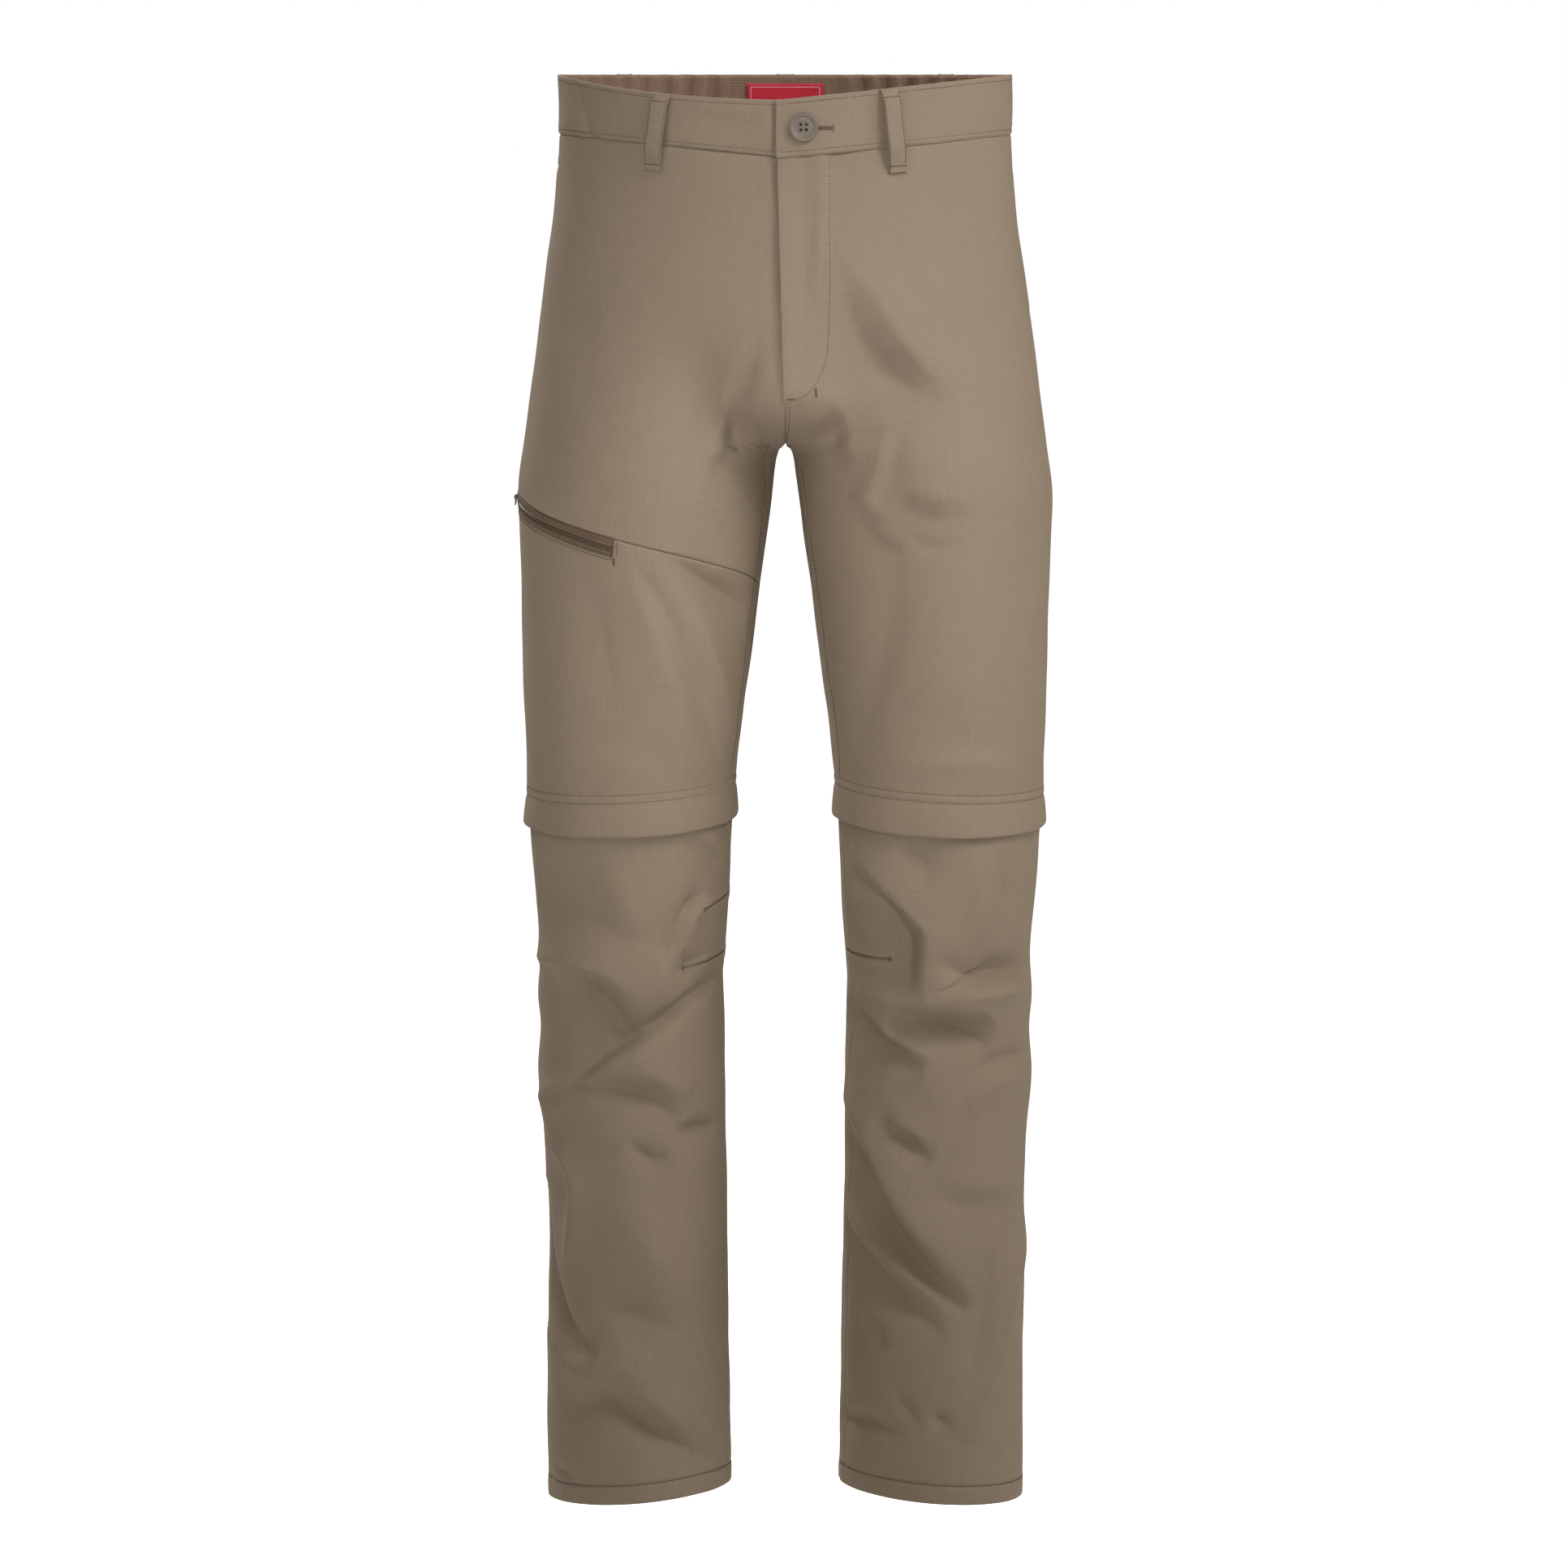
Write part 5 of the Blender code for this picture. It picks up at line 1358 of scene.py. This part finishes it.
def pocket_tape(tape):
    """Tape of the pocket zip, with folded lips along both sides of the coil."""
    zip_round = round_of(POCKET_ZIP_TURN)
    around = np.arange(zip_round * ROUND_MM + 0.4, SIDE_SEAM * ROUND_MM - 0.3, 0.9) / ROUND_MM
    # distance below the pocket seam, height
    profile = np.array([(0.2, -1.5), (0.25, -0.7), (0.7, -0.15), (1.6, 0.0), (3.0, 0.0), (4.4, -0.1),
                        (5.4, -0.3), (5.9, -0.8), (6.6, -0.9), (7.6, -0.9), (9.0, -0.9), (9.9, -0.8),
                        (10.4, -0.3), (11.2, 0.0), (12.2, 0.05), (13.1, -0.1), (13.5, -0.7), (13.6, -1.5)])
    down = pocket_seam(around) + profile[:, :1]
    end = 1.1 * (1.0 - smooth((around - around[0]) * ROUND_MM / 1.6))
    waves = 0.12 * np.sin(around * 95.0) * smooth(profile[:, :1] / 2.0)
    lift = profile[:, 1:] + 0.25 + waves - end
    piece = panel("pocket_tape", -1, around, down, lift, thickness=0.35)
    dress(piece, tape, ["pocket_zip_tape"])


def pocket_coil(teeth, light):
    """Closed coil: two rows of ribs either side of a groove, and the rows that sew its tape."""
    middle, pitch, slider_room = 7.9, 1.05, 14.0
    zip_round = round_of(POCKET_ZIP_TURN)
    around = np.arange(zip_round * ROUND_MM + 2.2, SIDE_SEAM * ROUND_MM - slider_room, 0.26) / ROUND_MM
    # distance below the pocket seam, height
    section = np.array([(5.95, -0.8), (6.05, -0.25), (6.5, 0.2), (7.1, 0.28), (7.6, 0.0), (7.85, -0.35),
                        (7.95, -0.35), (8.2, 0.0), (8.7, 0.28), (9.3, 0.2), (9.75, -0.25), (9.85, -0.8)])
    below = section[:, :1]
    rib = np.sin(2.0 * np.pi * around * ROUND_MM / pitch + np.where(below < middle, 0.0, np.pi))
    body = (np.abs(below - middle) < 1.7) & (np.abs(below - middle) > 0.2)
    lift = section[:, 1:] + 0.15 + 0.16 * rib * body
    piece = panel("pocket_coil", -1, around, pocket_seam(around) + below, lift, thickness=0.25)
    dress(piece, teeth, ["pocket_zip_coil"])
    rows = [sewn(-1, around, pocket_seam(around) + beside, 0.05, pitch=2.4) for beside in (5.0, 10.8)]
    finish_thread("zip_tape_stitches", rows, light, "zip_tape", length=1.5)


def select_faces(thing, wanted):
    """In edit mode, selects only the faces that the test accepts."""
    shape = bmesh.from_edit_mesh(thing.data)
    for face in shape.faces:
        face.select_set(bool(wanted(face)))
    bmesh.update_edit_mesh(thing.data)


def waist_button(horn, thread):
    """Moulded four-hole button with a rounded rim and a dished face, and the thread behind its holes, drawn
    dark so that it also paints the shade in the holes.
    """
    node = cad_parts["waist_button"]
    corners = np.array([tuple(v.co) for v in node.data.vertices])
    low, high = corners.min(0), corners.max(0)
    middle = (low + high) / 2.0
    axes = np.linalg.svd(corners - corners.mean(0), full_matrices=False)[2]
    out = axes[2] if axes[2][1] < 0 else -axes[2]
    spread = (corners - middle) @ out
    radius = 0.5 * (high[0] - low[0])
    tall = float(spread.max() - spread.min())
    hole, hole_radius = 1.95 * MM, 1.15 * MM
    # steps from the rim to the middle: how far in, how far up
    dished_face = ((0.9, 0.25), (1.3, 0.0), (0.9, -0.75), (1.4, -0.35), (1.5, 0.25))

    bpy.ops.object.select_all(action="DESELECT")
    bpy.ops.mesh.primitive_cylinder_add(vertices=64, radius=radius, depth=tall, end_fill_type="NGON")
    button = bpy.context.active_object
    button.name = "horn_button"
    bpy.ops.object.mode_set(mode="EDIT")
    select_faces(button, lambda face: face.normal.z > 0.9)
    for inset, rise in dished_face:
        bpy.ops.mesh.inset(thickness=inset * MM, depth=rise * MM)
    bpy.ops.object.mode_set(mode="OBJECT")
    for x, y in ((-1, -1), (-1, 1), (1, -1), (1, 1)):
        bpy.ops.object.select_all(action="DESELECT")
        bpy.ops.mesh.primitive_cylinder_add(vertices=20, radius=hole_radius, depth=12.0 * MM,
                                            location=(hole * x, hole * y, 0.0))
        drill = bpy.context.active_object
        cut = button.modifiers.new("hole", "BOOLEAN")
        cut.operation, cut.object, cut.solver = "DIFFERENCE", drill, "EXACT"
        apply_modifiers(button)
        bpy.data.objects.remove(drill, do_unlink=True)
    soften = button.modifiers.new("soft edges", "BEVEL")
    soften.width, soften.segments, soften.limit_method = 0.22 * MM, 2, "ANGLE"
    soften.angle_limit = math.radians(35.0)
    apply_modifiers(button)
    turn = Vector(out.tolist()).to_track_quat("Z", "Y").to_matrix().to_4x4()
    button.data.transform(Matrix.Translation(Vector(middle.tolist())) @ turn)
    bpy.ops.object.select_all(action="DESELECT")
    button.select_set(True)
    bpy.context.view_layer.objects.active = button
    bpy.ops.object.shade_smooth_by_angle(angle=math.radians(40.0))
    dress(button, horn, ["waist_button"])

    # Thread behind the holes in the dark tape material: the thread is real, and its dark colour is painted
    # shade in the holes.
    turned, count = np.array(turn.to_3x3()), 7
    rows = []
    for y in (-hole, hole):
        x = np.linspace(-1.5, 1.5, count) * hole
        local = np.stack([x, np.full(count, y), np.full(count, 0.5 * MM - tall / 2)])
        points = (middle + (turned @ local).T) / MM
        rows.append(stitches_along(points, np.tile(turned[:, 2], (count, 1)), 0.9))
    finish_thread("button_thread_and_hole_shade", rows, thread, "button", length=1.6, width=2.6, tall=0.4)


def paper_floor():
    """Plain white floor below the hems."""
    bpy.ops.mesh.primitive_circle_add(vertices=96, radius=FLOOR_RADIUS, fill_type="NGON",
                                      location=(0.0, 0.0, FLOOR))
    bpy.ops.object.transform_apply(location=True, rotation=True, scale=True)
    floor = bpy.context.active_object
    floor.name = "studio_floor"
    studio_paper, tree, paper = new_material("studio paper")
    paper.inputs["Base Color"].default_value = (0.9, 0.9, 0.9, 1.0)
    paper.inputs["Roughness"].default_value = 0.9
    paper.inputs["Emission Color"].default_value = (1.0, 1.0, 1.0, 1.0)
    ray = new_node(tree, "ShaderNodeLightPath")
    seen = math_node(tree, "MULTIPLY", ray.outputs["Is Camera Ray"], 0.88)
    tree.links.new(seen, paper.inputs["Emission Strength"])
    floor.data.materials.clear()
    floor.data.materials.append(studio_paper)


def studio_lights():
    """Soft round lights."""
    lights = (
        # name, size, watts, spread in degrees, place, aim
        ("key", 0.7, 6.2, 80, (1.55, -1.3, 1.55), (0.0, 0.0, -0.05)),
        ("front_left", 1.3, 3.4, 90, (-1.2, -1.9, 1.2), (0.0, 0.0, -0.1)),
        ("fill", 2.4, 8.0, 180, (-0.6, -4.0, 0.6), (0.0, 0.0, -0.4)),
        ("front_low", 0.6, 0.72, 26, (0.0, -2.3, -0.5), (0.0, 0.0, -0.29)),
        ("right_side", 1.2, 18.0, 180, (2.3, -0.5, 0.3), (0.0, 0.0, -0.3)),
        ("top", 1.6, 10.0, 180, (0.3, -0.9, 2.6), (0.0, 0.0, -0.4)),
        ("rear", 0.9, 74.0, 180, (-1.3, 2.1, 1.7), (0.0, 0.0, -0.4)),
    )
    for name, size, watts, spread, position, aim in lights:
        lamp = bpy.data.lights.new(name, "AREA")
        lamp.shape = "DISK"
        lamp.size = size
        lamp.energy = watts
        lamp.spread = math.radians(spread)
        thing = add_object(name, lamp)
        thing.location = position
        thing.rotation_euler = (Vector(aim) - Vector(position)).to_track_quat("-Z", "Y").to_euler()


def studio_world():
    """White for the camera, and a weak warm light on the cloth."""
    world = bpy.data.worlds.new("studio")
    world.use_nodes = True
    tree = world.node_tree
    around_light = 0.21
    warm, white = (1.0, 0.95, 0.89, 1.0), (1.0, 1.0, 1.0, 1.0)
    factor, first_colour, second_colour, colour_out = 0, 6, 7, 2
    ray = new_node(tree, "ShaderNodeLightPath")
    seen = math_node(tree, "MULTIPLY", ray.outputs["Is Camera Ray"], 1.0 - around_light)
    background = tree.nodes["Background"]
    tree.links.new(math_node(tree, "ADD", seen, around_light), background.inputs["Strength"])
    tint = new_node(tree, "ShaderNodeMix", {first_colour: warm, second_colour: white}, data_type="RGBA")
    tree.links.new(ray.outputs["Is Camera Ray"], tint.inputs[factor])
    tree.links.new(tint.outputs[colour_out], background.inputs["Color"])
    bpy.context.scene.world = world
    bpy.context.scene.view_settings.view_transform = "Standard"


def studio_camera():
    """Camera that frames the garment from the front."""
    camera = add_object("camera", bpy.data.cameras.new("camera"))
    camera.data.lens = CAMERA_LENS
    camera.data.sensor_width = CAMERA_SENSOR
    camera.data.clip_end = 100.0
    camera.location = CAMERA_PLACE
    camera.rotation_euler = (math.radians(90.0 - CAMERA_TIP), 0.0, 0.0)
    bpy.context.scene.camera = camera


def main():
    """Stage, materials, cloth from the thighs to the waist, thread and hard pieces."""
    paper_floor()
    studio_lights()
    studio_world()
    studio_camera()
    weave, rumples = weave_group(), rumple_group()
    cloth = cloth_material("taupe stretch nylon", TAUPE, weave, rumples)
    # Stitch thread, darkened with painted shade.
    thread = cloth_material("taupe thread with painted stitch shade", THREAD_TAUPE_WITH_STITCH_SHADE, weave, rumples, threads=900.0, use_uv=False)
    light = cloth_material("light tape thread", LIGHT_THREAD, weave, rumples, threads=900.0, use_uv=False)
    pale = cloth_material("pale label thread", LABEL_PALE, weave, rumples, threads=900.0, use_uv=False)
    tape = cloth_material("brown zip tape", DARK_BROWN, weave, rumples, threads=420.0, sheen=0.1)
    facing = cloth_material("brushed elastic facing", FACING_BROWN, weave, rumples, threads=210.0,
                            weave_depth=0.25, rumple_depth=0.6, roughness=0.9, sheen=0.3, contrast=0.4)
    label = cloth_material("red woven label", LABEL_RED, weave, rumples, threads=520.0, rumple_depth=0.2)
    horn = hard_material("horn button plastic", BUTTON_GREY, 0.38)
    teeth = hard_material("brown zip coil nylon", COIL_BROWN, 0.42, grain=900.0)
    metal = hard_material("painted zip metal", METAL_BROWN, 0.42, metallic=0.35)
    thigh_panels(cloth)
    right_front(cloth)
    knee_flaps(cloth)
    lower_legs(cloth)
    zip_rings(tape)
    band_front(cloth)
    band_back(cloth)
    band_facing(facing)
    care_label(label)
    label_border(pale)
    fly(cloth)
    loops = (
        # place, side, distance from the centre at top and bottom, on the back, height of the top end
        ("front_right", -1, 88.0, 94.5, False, 1.3),
        ("front_left", 1, 74.0, 80.0, False, 1.3),
        ("back_right", -1, 118.0, 119.0, True, 2.9),
        ("back_left", 1, 118.0, 119.0, True, 2.9),
        ("back_centre", 1, 0.0, 0.0, True, 1.3),
    )
    loop_rows = []
    for loop in loops:
        loop_rows += belt_loop(cloth, *loop)
    waist_stitches(thread, loop_rows)
    fly_stitches(thread)
    leg_stitches(thread)
    pocket_stitches(thread)
    # The dark tape material also draws the buttonhole's cut as painted shade.
    buttonhole(thread, tape)
    pocket_tape(tape)
    pocket_coil(teeth, light)
    # The button's thread is drawn in the dark tape material as painted shade in its holes.
    waist_button(horn, tape)
    for node in ("pocket_zip_slider", "pocket_zip_tab"):
        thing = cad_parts[node]
        thing.data.materials.clear()
        thing.data.materials.append(metal)


main()
